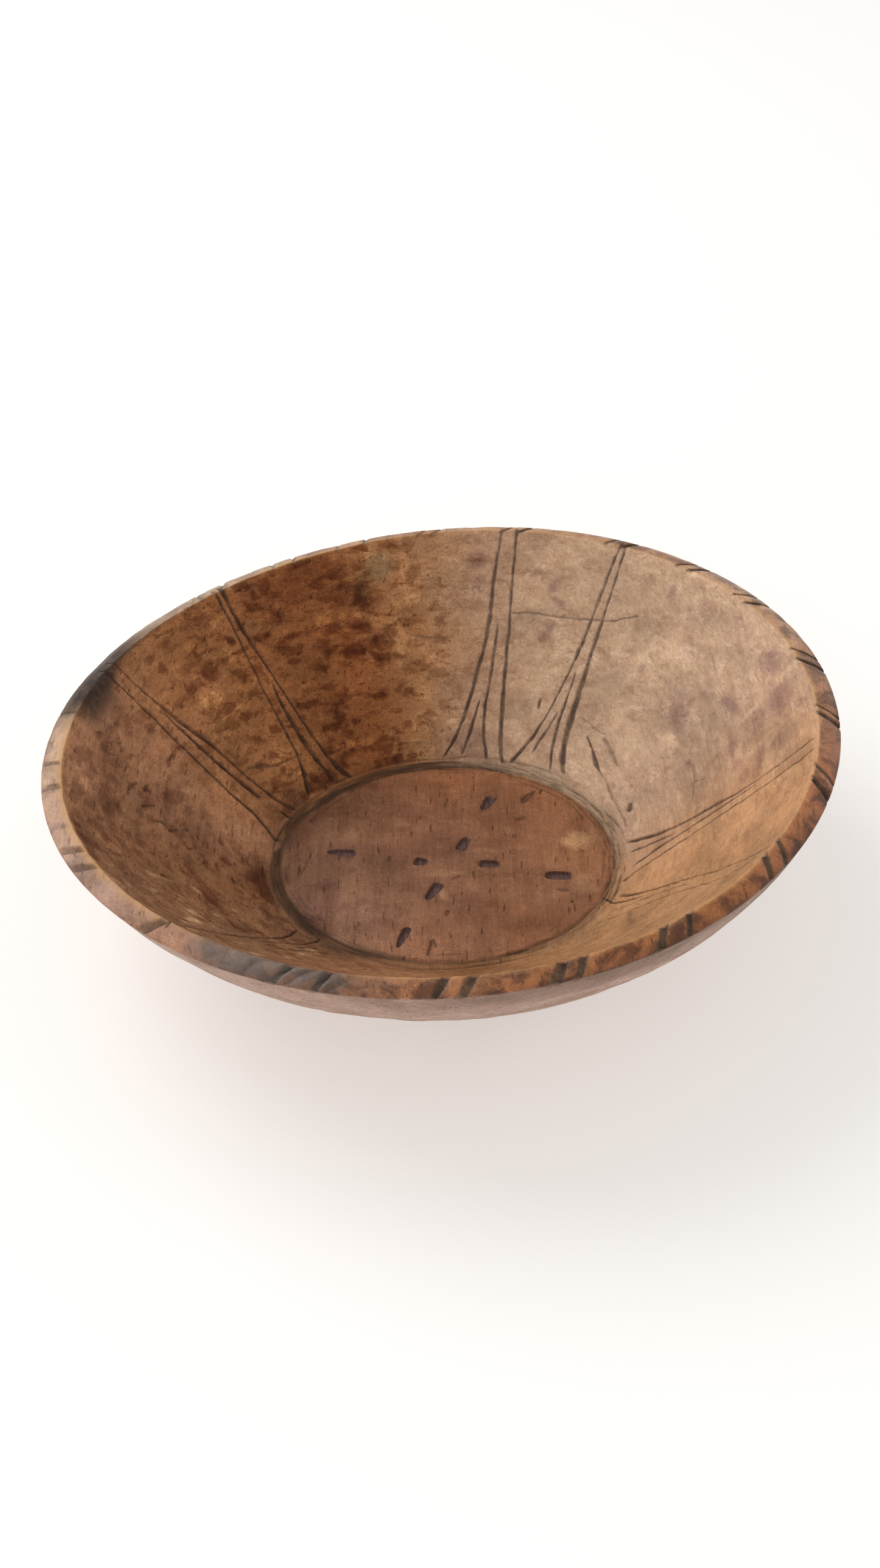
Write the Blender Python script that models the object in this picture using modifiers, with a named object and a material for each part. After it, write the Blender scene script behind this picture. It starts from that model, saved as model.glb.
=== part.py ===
"""Carved wooden bowl: one block of wood, turned oval and cut with gouge marks.

The bowl stands on its flat base with the origin at the centre of that base, +Z up.
It starts as a turned profile, which is pulled into a slightly egg-shaped oval whose rim
rises to one side. Gouge cuts are then taken out of the wall, the rim and the floor.
Angles are measured anticlockwise from +X, seen from above.
"""
import math

import bmesh
import bpy
from mathutils import Vector

MM = 0.001

# Driving dimensions, in metres
RIM_RADIUS = 172.8 * MM          # mean radius of the rim's outer edge
RIM_HEIGHT = 92 * MM             # mean height of the rim's outer edge above the base
RIM_WIDTH = 9.4 * MM             # from the outer edge in to the lip
LIP_RISE = 2.6 * MM              # the lip stands this much above the outer edge
EDGE_ROUNDING = 1.2 * MM
FLOOR_RADIUS = 73 * MM
FLOOR_THICKNESS = 18 * MM
CREASE_WIDTH = 6 * MM            # the cut ring between floor and wall
CREASE_DEPTH = 1.8 * MM
WALL_HOLLOW = 0.25               # how far the inner wall bows away from a straight line
OUTER_SLOPE = 0.4                # the outer wall's inward lean just under the rim
OUTER_CURVE = 7.2                # how fast that lean grows with depth, per metre

TURNS = 72                       # facets round the bowl
INNER_STEPS = 7                  # facets up the inner wall
OUTER_STEPS = 8                  # facets down the outer wall
STROKE_STEP = 0.2                # longest straight run of a wall cut, in heights of the wall

# The oval and the tilt, in millimetres, and the way the floor's oval points
RIM_OVAL = 6.2                   # longest at 45 and 225 degrees
RIM_EGG = 2.0                    # three-sided swell, fullest at 60, 180 and 300 degrees
FLOOR_OVAL = 3.0                 # longest along FLOOR_AXIS
RIM_TILT = 4.9                   # the rim is highest at 0 degrees
RIM_WAVE = 0.7                   # and dips a little at 45 and 225 degrees
FLOOR_AXIS = math.radians(13)

# Gouge cuts up the wall in bundles: (middle angle, strokes), where a stroke is
# (cut radius in mm, then points of (degrees from the middle, height up the wall from 0 to 1))
WALL_BUNDLES = (
    (162, ((1.1, (2, 1.0), (2, 0.4), (7, 0.05)), (1.2, (-1, 1.0), (-4, 0.55), (-8, 0.08)),
           (1.6, (-2, 0.7), (-3, 0.13)))),
    (134, ((1.1, (1, 1.0), (2, 0.6), (6, 0.1)), (1.3, (-1, 1.0), (-2, 0.65), (-5, 0.1)),
           (1.6, (-1, 0.5), (0, 0.1)))),
    (79, ((1.2, (2, 1.0), (2, 0.6), (8, 0.1)), (1.2, (-1, 1.0), (-3, 0.5), (-6, 0.12)),
          (1.1, (0, 0.6), (-1, 0.06)), (1.0, (2, 0.27), (5, 0.07)))),
    (59, ((1.2, (1, 1.0), (1, 0.6), (5, 0.1)), (1.6, (0, 1.0), (-2, 0.6), (-8, 0.1)),
          (1.1, (0, 0.45), (2, 0.08)), (1.1, (-2, 0.25), (-6, 0.04)))),
    (355, ((1.1, (-1, 1.0), (3, 0.55), (11, 0.05)), (1.1, (-3, 0.97), (2, 0.45), (-1, 0.04)),
           (1.0, (2, 0.25), (6, 0.05)), (1.0, (-3, 0.7), (-1, 0.4), (-2, 0.17)))),
    (327, ((1.0, (-3, 1.0), (1, 0.7), (6, 0.2)), (1.1, (-5, 1.0), (0, 0.5), (5, 0.15)),
           (1.0, (-3, 0.55), (3, 0.08)), (1.0, (0, 0.2), (-4, 0.02)))),
    (228, ((1.2, (2, 1.0), (-1, 0.5), (-6, 0.08)), (1.0, (0, 0.6), (2, 0.2)),
           (1.0, (4, 0.47), (6, 0.09)))),
)

# Pairs of cuts across the rim: (angles at the lip, degrees each turns back on its way out)
RIM_PAIRS = (
    ((62, 59), 1.6), ((49, 46), 2.0), ((36, 33), 2.2), ((18, 15), 2.9), ((2, 360), 2.6),
    ((346, 343), 3.0), ((326, 322), 2.7), ((305, 301), 2.3), ((288, 285), 1.7),
    ((273, 270), 1.8), ((254, 249), 1.4), ((230, 226), 1.9), ((212, 208), 1.5),
    ((193, 187), 0.4), ((175, 170), 0.6), ((138, 133), 1.0), ((122, 118), 1.0),
    ((110, 105), 1.2), ((95, 92), 1.6), ((80, 77), 1.8),
)
RIM_CUT_RADIUS = 1.7 * MM
RIM_CUT_DEPTH = 1.1 * MM
RIM_CUT_OVERRUN = 3.0 * MM       # how far a rim cut runs out past the rim on both sides

# Short gouge cuts in the floor, in a cross: (x, y, length, heading) in mm and degrees
FLOOR_CUTS = (
    (-48, 4, 14, 0), (-12, -2, 7, 0), (19.5, -3, 10, -5), (50.5, -12, 14, -9),
    (20, 42, 12, 60), (8, 10.5, 11, 56), (-6.5, -23, 14, 60), (-19.5, -54.5, 14, 69),
)
FLOOR_CUT_WIDTH = 4.8 * MM
FLOOR_CUT_DEPTH = 1.9 * MM

WOOD_COLOUR = (0.30, 0.165, 0.095, 1.0)
WOOD_ROUGHNESS = 0.5

FLOOR_Z = FLOOR_THICKNESS
LIP_Z = RIM_HEIGHT + LIP_RISE
LIP_RADIUS = RIM_RADIUS - RIM_WIDTH
FOOT_RADIUS = FLOOR_RADIUS + CREASE_WIDTH


def clear_scene():
    for item in list(bpy.data.objects):
        bpy.data.objects.remove(item, do_unlink=True)


def new_collection(name):
    group = bpy.data.collections.new(name)
    bpy.context.scene.collection.children.link(group)
    return group


def wood():
    material = bpy.data.materials.new("carved_wood")
    material.use_nodes = True
    shader = material.node_tree.nodes["Principled BSDF"]
    shader.inputs["Base Color"].default_value = WOOD_COLOUR
    shader.inputs["Roughness"].default_value = WOOD_ROUGHNESS
    shader.inputs["Metallic"].default_value = 0.0
    return material


# ---- the turned profile -------------------------------------------------------------------

def inner_wall(height):
    """Radius and z of the inner wall, for a height from 0 at its foot to 1 at the lip."""
    bowed = height + WALL_HOLLOW * height * (1 - height)
    return FOOT_RADIUS + (LIP_RADIUS - FOOT_RADIUS) * bowed, FLOOR_Z + (LIP_Z - FLOOR_Z) * height


def outer_wall(z):
    depth = RIM_HEIGHT - z
    return RIM_RADIUS - OUTER_SLOPE * depth - OUTER_CURVE * depth ** 2


def profile():
    """From the middle of the floor, out and over the rim, and back under the base."""
    crease_z = FLOOR_Z - CREASE_DEPTH
    points = [(0, FLOOR_Z), (FLOOR_RADIUS, FLOOR_Z),
              (FLOOR_RADIUS + 0.4 * CREASE_WIDTH, crease_z), (FLOOR_RADIUS + 0.7 * CREASE_WIDTH, crease_z)]
    points += [inner_wall(step / INNER_STEPS) for step in range(INNER_STEPS)]
    points.append(inner_wall(1 - EDGE_ROUNDING / (LIP_Z - FLOOR_Z)))
    points.append((LIP_RADIUS + EDGE_ROUNDING, LIP_Z))
    points.append((RIM_RADIUS - EDGE_ROUNDING, RIM_HEIGHT + 0.4 * EDGE_ROUNDING))
    for step in range(OUTER_STEPS + 1):
        z = (RIM_HEIGHT - EDGE_ROUNDING) * (1 - step / OUTER_STEPS)
        points.append((outer_wall(z), z))
    points.append((0, 0))
    return points


def turned_mesh():
    mesh = bpy.data.meshes.new("profile")
    points = [(radius, 0, z) for radius, z in profile()]
    mesh.from_pydata(points, [(i, i + 1) for i in range(len(points) - 1)], [])
    blank = bpy.data.objects.new("profile", mesh)
    bpy.context.scene.collection.objects.link(blank)
    screw = blank.modifiers.new("turn", "SCREW")
    screw.axis = "Z"
    screw.angle = math.tau
    screw.steps = screw.render_steps = TURNS
    screw.use_merge_vertices = True
    screw.merge_threshold = 0.0001
    turned = applied_mesh(blank)
    bpy.data.objects.remove(blank, do_unlink=True)
    return turned


def applied_mesh(item):
    bpy.context.view_layer.update()
    seen = item.evaluated_get(bpy.context.evaluated_depsgraph_get())
    return bpy.data.meshes.new_from_object(seen)


# ---- from turned to carved ----------------------------------------------------------------

def carved(x, y, z):
    """Moves a point of the turned form to where it lies on the oval, tilted bowl."""
    radius, angle = math.hypot(x, y), math.atan2(y, x)
    if radius == 0:
        return Vector((x, y, z))
    rise = min(max((z - FLOOR_Z) / (RIM_HEIGHT - FLOOR_Z), 0), 1)
    rim = RIM_OVAL * math.sin(2 * angle) - RIM_EGG * math.cos(3 * angle)
    floor = FLOOR_OVAL * math.cos(2 * (angle - FLOOR_AXIS))
    radius += (rise * rim + (1 - rise) * floor) * MM
    lift = rise * (RIM_TILT * math.cos(angle) - RIM_WAVE * math.sin(2 * angle)) * MM
    return Vector((radius * math.cos(angle), radius * math.sin(angle), z + lift))


def on_wall(degrees, height):
    """The point of the carved inner wall at an angle and a height from 0 to 1."""
    radius, z = inner_wall(height)
    angle = math.radians(degrees)
    return carved(radius * math.cos(angle), radius * math.sin(angle), z)


# ---- cutters ------------------------------------------------------------------------------

def tube_cutter(name, points, radius, group):
    """A round-sectioned gouge stroke along the points, as a closed mesh."""
    curve = bpy.data.curves.new(name, "CURVE")
    curve.dimensions = "3D"
    curve.bevel_depth = radius
    curve.bevel_resolution = 1
    curve.use_fill_caps = True
    spline = curve.splines.new("POLY")
    spline.points.add(len(points) - 1)
    for target, point in zip(spline.points, points):
        target.co = (*point, 1)
    path = bpy.data.objects.new(name, curve)
    bpy.context.scene.collection.objects.link(path)
    mesh = applied_mesh(path)
    bpy.data.objects.remove(path, do_unlink=True)
    shape = bmesh.new()
    shape.from_mesh(mesh)
    bmesh.ops.remove_doubles(shape, verts=shape.verts, dist=0.00001)
    bmesh.ops.recalc_face_normals(shape, faces=shape.faces)
    shape.to_mesh(mesh)
    shape.free()
    return add_cutter(name, mesh, group)


def add_cutter(name, mesh, group):
    cutter = bpy.data.objects.new(name, mesh)
    cutter.hide_render = True
    cutter.display_type = "WIRE"
    group.objects.link(cutter)
    return cutter


def wall_path(middle, stops):
    """Points along a stroke, close enough together to follow the hollow of the wall."""
    turn, height = stops[0]
    points = [on_wall(middle + turn, height)]
    for next_turn, next_height in stops[1:]:
        parts = math.ceil(abs(next_height - height) / STROKE_STEP)
        for part in range(1, parts + 1):
            share = part / parts
            points.append(on_wall(middle + turn + (next_turn - turn) * share,
                                  height + (next_height - height) * share))
        turn, height = next_turn, next_height
    return points


def wall_cutters(group):
    for middle, strokes in WALL_BUNDLES:
        for number, (radius, *stops) in enumerate(strokes):
            tube_cutter(f"wall_cut_{middle}_{number}", wall_path(middle, stops), radius * MM, group)


def rim_cutters(group):
    for angles, turn_back in RIM_PAIRS:
        for lip_angle in angles:
            start, end = math.radians(lip_angle), math.radians(lip_angle - turn_back)
            lift = RIM_CUT_RADIUS - RIM_CUT_DEPTH
            lip = carved(LIP_RADIUS * math.cos(start), LIP_RADIUS * math.sin(start), LIP_Z + lift)
            edge = carved(RIM_RADIUS * math.cos(end), RIM_RADIUS * math.sin(end), RIM_HEIGHT + lift)
            past = (edge - lip).normalized() * RIM_CUT_OVERRUN
            tube_cutter(f"rim_cut_{lip_angle}", (lip - past, edge + past), RIM_CUT_RADIUS, group)


def floor_cutters(group):
    """Boat-shaped cuts, made from stretched spheres sunk to half their height."""
    for number, (x, y, length, heading) in enumerate(FLOOR_CUTS):
        shape = bmesh.new()
        bmesh.ops.create_uvsphere(shape, u_segments=10, v_segments=6, radius=1)
        bmesh.ops.scale(shape, verts=shape.verts,
                        vec=(length * MM / 2, FLOOR_CUT_WIDTH / 2, FLOOR_CUT_DEPTH))
        mesh = bpy.data.meshes.new(f"floor_cut_{number}")
        shape.to_mesh(mesh)
        shape.free()
        cutter = add_cutter(f"floor_cut_{number}", mesh, group)
        cutter.location = (x * MM, y * MM, FLOOR_Z)
        cutter.rotation_euler.z = math.radians(heading)


# ---- the bowl -----------------------------------------------------------------------------

def make_bowl(group, cutters):
    mesh = turned_mesh()
    mesh.name = "bowl"
    for vertex in mesh.vertices:
        vertex.co = carved(*vertex.co)
    bowl = bpy.data.objects.new("bowl", mesh)
    group.objects.link(bowl)
    mesh.materials.append(wood())
    mesh.shade_smooth()
    mesh.set_sharp_from_angle(angle=math.radians(30))
    cut = bowl.modifiers.new("gouge cuts", "BOOLEAN")
    cut.operation = "DIFFERENCE"
    cut.operand_type = "COLLECTION"
    cut.collection = cutters
    cut.solver = "EXACT"
    return bowl


def main():
    clear_scene()
    bowl_group = new_collection("carved_wooden_bowl")
    cutters = new_collection("cutters")
    wall_cutters(cutters)
    rim_cutters(cutters)
    floor_cutters(cutters)
    make_bowl(bowl_group, cutters)


main()
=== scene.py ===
"""The looks of the carved wooden bowl: its tool-cut surface and its worn, stained wood.

The bowl is one fine mesh in place of the plain CAD solid. It starts as the turned profile,
row by row from the middle of the floor, over the rim and back under the base. Every cut,
facet, crack and pit is then pressed into that surface, and the same marks colour the wood.
Lengths are in millimetres until the mesh is made. Angles are in degrees, anticlockwise from
+X, and heights go from 0 at the foot of the inner wall to 1 at its lip.
"""
import itertools
import math

import bpy
import numpy as np
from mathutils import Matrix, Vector


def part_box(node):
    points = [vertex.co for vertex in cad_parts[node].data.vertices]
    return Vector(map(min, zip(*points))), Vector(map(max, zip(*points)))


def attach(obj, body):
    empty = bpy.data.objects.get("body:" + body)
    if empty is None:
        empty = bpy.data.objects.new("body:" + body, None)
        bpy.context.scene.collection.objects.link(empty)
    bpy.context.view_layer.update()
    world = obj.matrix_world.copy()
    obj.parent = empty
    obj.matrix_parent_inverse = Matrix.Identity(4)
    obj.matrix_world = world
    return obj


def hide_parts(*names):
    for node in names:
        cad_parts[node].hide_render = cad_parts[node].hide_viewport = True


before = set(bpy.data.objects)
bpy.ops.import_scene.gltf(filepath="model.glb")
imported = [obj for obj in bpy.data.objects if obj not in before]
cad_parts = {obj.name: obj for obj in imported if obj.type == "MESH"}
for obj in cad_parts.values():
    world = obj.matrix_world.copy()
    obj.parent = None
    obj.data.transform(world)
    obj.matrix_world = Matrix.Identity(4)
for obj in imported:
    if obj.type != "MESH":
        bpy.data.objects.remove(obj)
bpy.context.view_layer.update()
low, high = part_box("bowl")

MM = 0.001

# ---- the bowl's form, as the CAD model has it ------------------------------------------------

RIM_RADIUS = (high.x - low.x) / 2 / MM
LIP_RISE = 2.6
RIM_TILT = 4.9
RIM_WAVE = 0.7
RIM_HEIGHT = (high.z - low.z) / MM - LIP_RISE - RIM_TILT - 0.2
RIM_WIDTH = 9.4
RIM_OVAL = 6.2
RIM_EGG = 2.0
FLOOR_RADIUS = 73.0
FLOOR_THICKNESS = 18.0
FLOOR_OVAL = 3.0
FLOOR_AXIS = 13
CREASE_WIDTH = 6.0
WALL_HOLLOW = 0.25
OUTER_SLOPE = 0.4
OUTER_CURVE = 0.0072
EDGE_WEAR = 0.9                 # how far the rim's outer edge is worn down
SKIN = 0.1                      # the finished surface lies this far inside the CAD solid

LIP_RADIUS = RIM_RADIUS - RIM_WIDTH
LIP_Z = RIM_HEIGHT + LIP_RISE
FOOT_RADIUS = FLOOR_RADIUS + CREASE_WIDTH

COLUMNS = 1440
ROW_STEP = 0.55
TRIANGLES = 195_000

# Marks of the tools: (how many go round the bowl, length of each, depth)
GOUGE_HOLLOWS = (76, 8.5, 0.32)
ADZE_FLATS = (30, 24, 0.7)
RIM_FLATS = (64, 30, 0.3)

# Where fire marked the rim, charred at the left and greyed at the front, with how far each
# reaches sideways in degrees; and the slanting flats that the greyed rim was scraped to
CHAR_ANGLE, CHAR_REACH = 170, (23, 7)
ASH_ANGLE, ASH_REACH = 246, 12
ROPE_SPACING = 3.1              # degrees
ROPE_SLANT = 0.35               # degrees for each mm out
ROPE_DEPTH = 0.8
# Where the painted shade in the crease is darkest, and where and how far (degrees, mm) that
# shade climbs the wall
CREASE_SHADE_ANGLE = 165
CREASE_SHADE_WIDTH = 3.6
SHADE_CLIMB_ANGLE, SHADE_CLIMB = 148, (17, 8)

# ---- cuts -------------------------------------------------------------------------------------

# Bundles of strokes up the wall: (middle angle, strokes). A stroke is a list of
# (degrees from the middle, height, width), from the top down.
BUNDLES = (
    (161, (
        ((2.5, 1.02, 0.9), (2.0, 0.75, 1.0), (2.5, 0.5, 1.0), (3.5, 0.3, 1.1), (5, 0.1, 1.5),
         (9.5, -0.03, 1.9)),
        ((0, 1.02, 0.8), (-1.0, 0.8, 0.9), (-2.5, 0.6, 2.0), (-4, 0.43, 1.6), (-4.5, 0.25, 1.1),
         (-6, 0.08, 1.7), (-8.5, -0.01, 1.8)),
        ((-1, 0.71, 0.8), (-1, 0.6, 1.6), (-1.2, 0.35, 1.6), (-1.7, 0.2, 2.4), (-2, 0.13, 1.6)),
        ((-3, 0.06, 1.0), (-4, -0.02, 1.3)),
    )),
    (134, (
        ((1.0, 1.02, 1.4), (1.0, 0.8, 1.2), (2.0, 0.57, 1.0), (3.5, 0.3, 1.2), (5, 0.17, 1.5),
         (8, 0.07, 2.2), (11, 0.0, 2.0)),
        ((-0.5, 1.02, 2.2), (-0.5, 0.84, 2.0), (-1.5, 0.6, 1.2), (-2.5, 0.35, 1.1),
         (-3.5, 0.17, 1.5), (-5, 0.06, 2.3), (-8, -0.01, 2.0)),
        ((-0.7, 0.54, 0.8), (0, 0.42, 1.6), (0.2, 0.2, 2.2), (-0.3, 0.1, 1.6), (-1, 0.0, 1.5)),
    )),
    (79, (
        ((1.5, 1.02, 1.0), (2.0, 0.75, 1.7), (2.0, 0.57, 1.9), (3.5, 0.37, 1.7),
         (5.5, 0.21, 1.5), (8.5, 0.09, 1.4), (12.5, 0.0, 1.5)),
        ((-1.0, 1.02, 1.3), (-1.5, 0.8, 1.1), (-2.5, 0.57, 1.3), (-3.5, 0.37, 1.6),
         (-5, 0.2, 1.9), (-7, 0.07, 1.8), (-9.5, -0.01, 1.6)),
        ((0, 0.61, 0.8), (0, 0.45, 1.3), (0, 0.33, 1.0), (0.2, 0.22, 1.5), (-1, 0.1, 1.3),
         (-3.5, 0.0, 1.6)),
        ((1.7, 0.28, 0.6), (3, 0.17, 1.4), (4, 0.1, 1.3), (6, 0.01, 1.0)),
    )),
    (59, (
        ((1.0, 1.02, 1.1), (1.2, 0.8, 1.2), (1.2, 0.55, 1.4), (2, 0.33, 0.9), (3, 0.22, 0.8),
         (4.5, 0.12, 1.7), (8.5, 0.0, 1.9)),
        ((0, 1.02, 1.2), (-0.5, 0.8, 1.1), (-1.5, 0.58, 1.6), (-2.5, 0.43, 2.2),
         (-4, 0.27, 2.8), (-6, 0.15, 2.6), (-9, 0.06, 2.3), (-12, 0.02, 2.0)),
        ((0, 0.46, 0.6), (-0.7, 0.33, 1.0), (-1.5, 0.21, 1.7), (-3.5, 0.1, 1.2),
         (-6.5, 0.01, 1.0)),
        ((0, 0.28, 0.6), (0.7, 0.2, 1.0), (1.5, 0.14, 1.5), (2.5, 0.06, 0.6)),
    )),
    (355, (
        ((-0.5, 0.98, 1.0), (0.5, 0.8, 0.9), (1.5, 0.6, 1.1), (3, 0.45, 1.6), (4.5, 0.3, 1.2),
         (7, 0.17, 1.5), (9, 0.1, 1.9), (12.5, 0.01, 1.1)),
        ((-3.5, 0.98, 1.2), (-2.5, 0.75, 1.0), (-2, 0.5, 0.9), (-2.5, 0.22, 1.2),
         (-4, 0.07, 1.2), (-6.5, -0.02, 1.2)),
        ((0, 0.67, 0.5), (0.7, 0.5, 1.0), (1.2, 0.25, 1.1), (1.2, 0.17, 1.6), (0.5, 0.1, 1.2),
         (-0.5, 0.02, 0.9)),
        ((2.8, 0.25, 0.6), (4, 0.18, 1.1), (5.5, 0.1, 1.1), (7.5, 0.01, 0.9)),
    )),
    (327, (
        ((-2, 0.99, 0.9), (0.5, 0.77, 0.9), (3, 0.58, 0.9), (6, 0.4, 1.1), (8.5, 0.2, 1.1),
         (10.5, 0.1, 1.7), (14, 0.0, 2.0)),
        ((-3.5, 0.99, 0.7), (-3.5, 0.75, 0.8), (-1, 0.55, 0.8), (0.5, 0.35, 0.9),
         (-0.5, 0.18, 0.9), (-3.5, 0.01, 0.8)),
        ((2, 0.49, 0.5), (4, 0.35, 0.8), (4.5, 0.2, 0.8), (4, 0.07, 0.6)),
        ((6.5, 0.19, 0.6), (7.5, 0.1, 1.1), (9, 0.03, 1.4), (12, -0.06, 1.2)),
    )),
    (229, (
        ((1.0, 1.02, 1.0), (-1.0, 0.8, 1.1), (-2, 0.55, 1.0), (-3.5, 0.33, 1.0), (-6, 0.15, 1.2),
         (-12, 0.0, 1.3)),
        ((2, 0.48, 0.6), (2.5, 0.32, 0.9), (4, 0.12, 1.0), (7.5, 0.02, 1.1)),
        ((-1, 0.42, 0.6), (-1.5, 0.27, 0.9), (-1.7, 0.12, 1.1), (-4.5, -0.03, 1.1)),
        ((0.5, 0.22, 0.5), (1, 0.12, 0.9), (3, 0.05, 0.9)),
    )),
)
STROKE_WIDENING = 1.25
STROKE_DEPTH = 0.5              # of its width
STROKE_MAX_DEPTH = 1.3

# Cuts across the rim, mostly in pairs: (angles at the lip, degrees each turns back on its way
# out, widths)
RIM_CUTS = (
    ((62.5, 59.5), 1.6, (1.6, 2.2)), ((49, 46.5), 2, (1.4, 2.4)), ((36.5, 33.5), 2.2, (1.4, 2)),
    ((18.5, 15.5), 2.9, (1.4, 2.6)), ((2.5, 0.5), 2.5, (1.6, 2.6)), ((346.5, 343), 3, (2.2, 3.2)),
    ((326.5, 322.5), 2.7, (2.4, 3.2)), ((305.5, 301), 2.3, (2.6, 3.2)),
    ((288.5, 285.5), 1.7, (2.6, 3.6)), ((273.5, 270), 1.8, (3, 3)),
    ((254.5, 249), 1.4, (2.6, 2.6)), ((229.5,), 1.9, (4,)), ((213.7, 209.4), 2.6, (3.4, 3.2)),
    ((193.7, 188), 1.3, (3, 2.2)), ((175,), 0.6, (1.2,)), ((138, 132.5), 1, (1.4, 2.6)),
    ((122.5, 118.5), 1, (1.6, 2)), ((110, 105), 1.2, (1.6, 2.2)), ((95, 92.5), 1.8, (1.6, 2)),
    ((80.5, 77.5), 2, (1.6, 2.2)),
)
RIM_CUT_WIDENING = 1.35
RIM_CUT_DEPTH = 0.5             # of its width

# Short gouge cuts in the floor, in a cross: (x, y, length, width, heading, and how much wider
# the far end is)
FLOOR_CUTS = (
    (-48.5, 4.5, 13.5, 4.8, -5, 0.3), (-12, -1.7, 6.5, 5.6, -6, -0.2),
    (19, -3.4, 9.5, 5.4, -6, -0.1), (50, -11.7, 12.5, 6, -3, 0.12), (19.3, 42.3, 11.5, 5, 66, 0.2),
    (7.5, 11, 10, 5.2, 68, -0.15), (-6.3, -23, 13, 4.8, 64, 0.25), (-19.6, -54, 14, 3.6, 70, 0.3),
)
FLOOR_CUT_DEPTH = 1.7

# Small damage in the floor: (x, y, length, width, heading, depth)
FLOOR_MARKS = (
    (-26.5, 0, 5.5, 2.5, 80, 0.5), (37.8, 46, 11, 3.5, 62, 0.6), (40.5, 49, 7, 2, 70, 0.7),
    (44.7, 51, 5, 1.6, 72, 0.6), (0, -38, 5, 2.2, 70, 0.4), (-7.6, -61, 12, 1.8, 80, 0.8),
    (-5.6, -58, 6, 1.4, 100, 0.6), (-18.6, -68, 4, 1.8, 85, 0.5), (55.7, -30, 2.2, 2, 0, 0.7),
    (4, -13, 6, 1.8, 40, 0.3), (-64.3, -4, 23, 0.7, 75, 0.5), (34, 30, 6, 3, 20, 0.25),
    (52, -22, 7, 2.2, -12, 0.3),
)

# Knife lines along the crease: (how far out from the floor's edge, width, depth, share of the
# ring covered, seed)
CREASE_LINES = (
    (0.3, 1, 0.9, 0.8, 40), (2.4, 0.5, 0.5, 0.1, 44), (4.6, 0.5, 0.5, 0.1, 48),
    (7.2, 0.45, 0.35, 0, 52), (-2, 0.4, 0.15, 0.1, 56), (-4.5, 0.4, 0.1, 0, 60),
)

# Cracks and slips of the gouge in the wall: (depth, points of (angle, height, width))
WALL_MARKS = (
    (0.7, ((76.3, 0.645, 0.5), (72, 0.655, 0.6), (67, 0.652, 0.7), (62, 0.665, 0.6),
           (58, 0.68, 0.6), (56, 0.69, 0.5), (54, 0.715, 0.4), (51.5, 0.745, 0.3))),
    (1.2, ((64.9, 0.295, 1.2), (64.6, 0.265, 1.4))),
    (0.35, ((52.5, 0.275, 0.8), (49, 0.262, 1.2), (45.5, 0.25, 1.0), (43.5, 0.25, 0.5))),
    (0.5, ((43, 0.235, 1.8), (39, 0.205, 2.2), (34, 0.17, 0.8))),
    (1.1, ((48, 0.21, 0.5), (45, 0.18, 0.8), (42.5, 0.15, 1.9), (40.5, 0.13, 2.5),
           (38, 0.115, 0.9))),
    (0.5, ((38, 0.115, 0.6), (33, 0.09, 0.5), (27, 0.06, 0.6), (20, 0.045, 0.5), (14, 0.04, 0.4))),
    (1.6, ((20, 0.095, 2.6), (18.8, 0.085, 2.8))),
    (0.35, ((15.5, 0.4, 1.2), (10, 0.37, 1.0), (5, 0.34, 1.0))),
    (0.3, ((10.6, 0.37, 0.8), (9.2, 0.42, 0.6))),
    (0.3, ((316, 0.34, 3.5), (320, 0.26, 2.6), (324.5, 0.205, 1.8), (327.5, 0.165, 1.0))),
    (0.5, ((154, 0.27, 1.8), (151, 0.25, 2.6), (147, 0.21, 1.6), (142, 0.195, 0.8),
           (137, 0.19, 0.5))),
    (0.5, ((137.3, 0.79, 1.0), (136.5, 0.77, 2.2))),
    (0.25, ((34, 0.76, 0.8), (30.5, 0.72, 1.0), (29, 0.7, 0.6))),
    (0.2, ((45.5, 0.62, 0.8), (42.5, 0.59, 0.8))),
    (0.4, ((97, 0.56, 1.2), (95, 0.545, 1.6), (92, 0.54, 0.6))),
    (0.5, ((169.5, 0.565, 1.6), (167.5, 0.55, 1.8), (166, 0.548, 0.8))),
    (0.65, ((180, 0.642, 1.2), (182, 0.66, 2.4), (184.3, 0.675, 1.0))),
    (0.5, ((178.5, 0.59, 1.0), (180.5, 0.6, 1.5))),
    (0.65, ((185.5, 0.595, 1.8), (183, 0.547, 0.8))),
    (0.65, ((187.8, 0.54, 1.4), (187, 0.5, 2.2), (188, 0.47, 1.0))),
    (0.6, ((188.5, 0.465, 1.6), (187.2, 0.435, 2.2), (186.6, 0.42, 1.0))),
    (0.6, ((186, 0.40, 1.2), (185.2, 0.385, 2.2), (184.5, 0.375, 1.0))),
    (0.65, ((191.5, 0.38, 1.8), (191, 0.36, 1.2))),
    (0.45, ((175.5, 0.885, 0.8), (174.6, 0.86, 1.0))),
    (0.45, ((176, 0.83, 0.8), (175, 0.8, 1.0))),
    (0.45, ((174.5, 0.8, 0.8), (173.6, 0.77, 1.0))),
    (0.45, ((178, 0.8, 0.8), (177, 0.765, 1.0))),
)


# ---- numbers over the surface ------------------------------------------------------------------

def smooth(start, stop, value):
    """A soft step from 0 at start to 1 at stop."""
    share = np.clip((value - start) / (stop - start), 0, 1)
    return share * share * (3 - 2 * share)


def bell(value, width):
    """1 where value is 0, fading on both sides within about a width."""
    return np.exp(-(value / width) ** 2)


def around(stops, degrees):
    """Numbers or colours given at some angles, blended to every angle."""
    angles, values = zip(*stops)
    values = np.array(values, float)
    if values.ndim == 1:
        return np.interp(degrees, angles, values, period=360)
    return np.stack([np.interp(degrees, angles, part, period=360) for part in values.T], -1)


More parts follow.
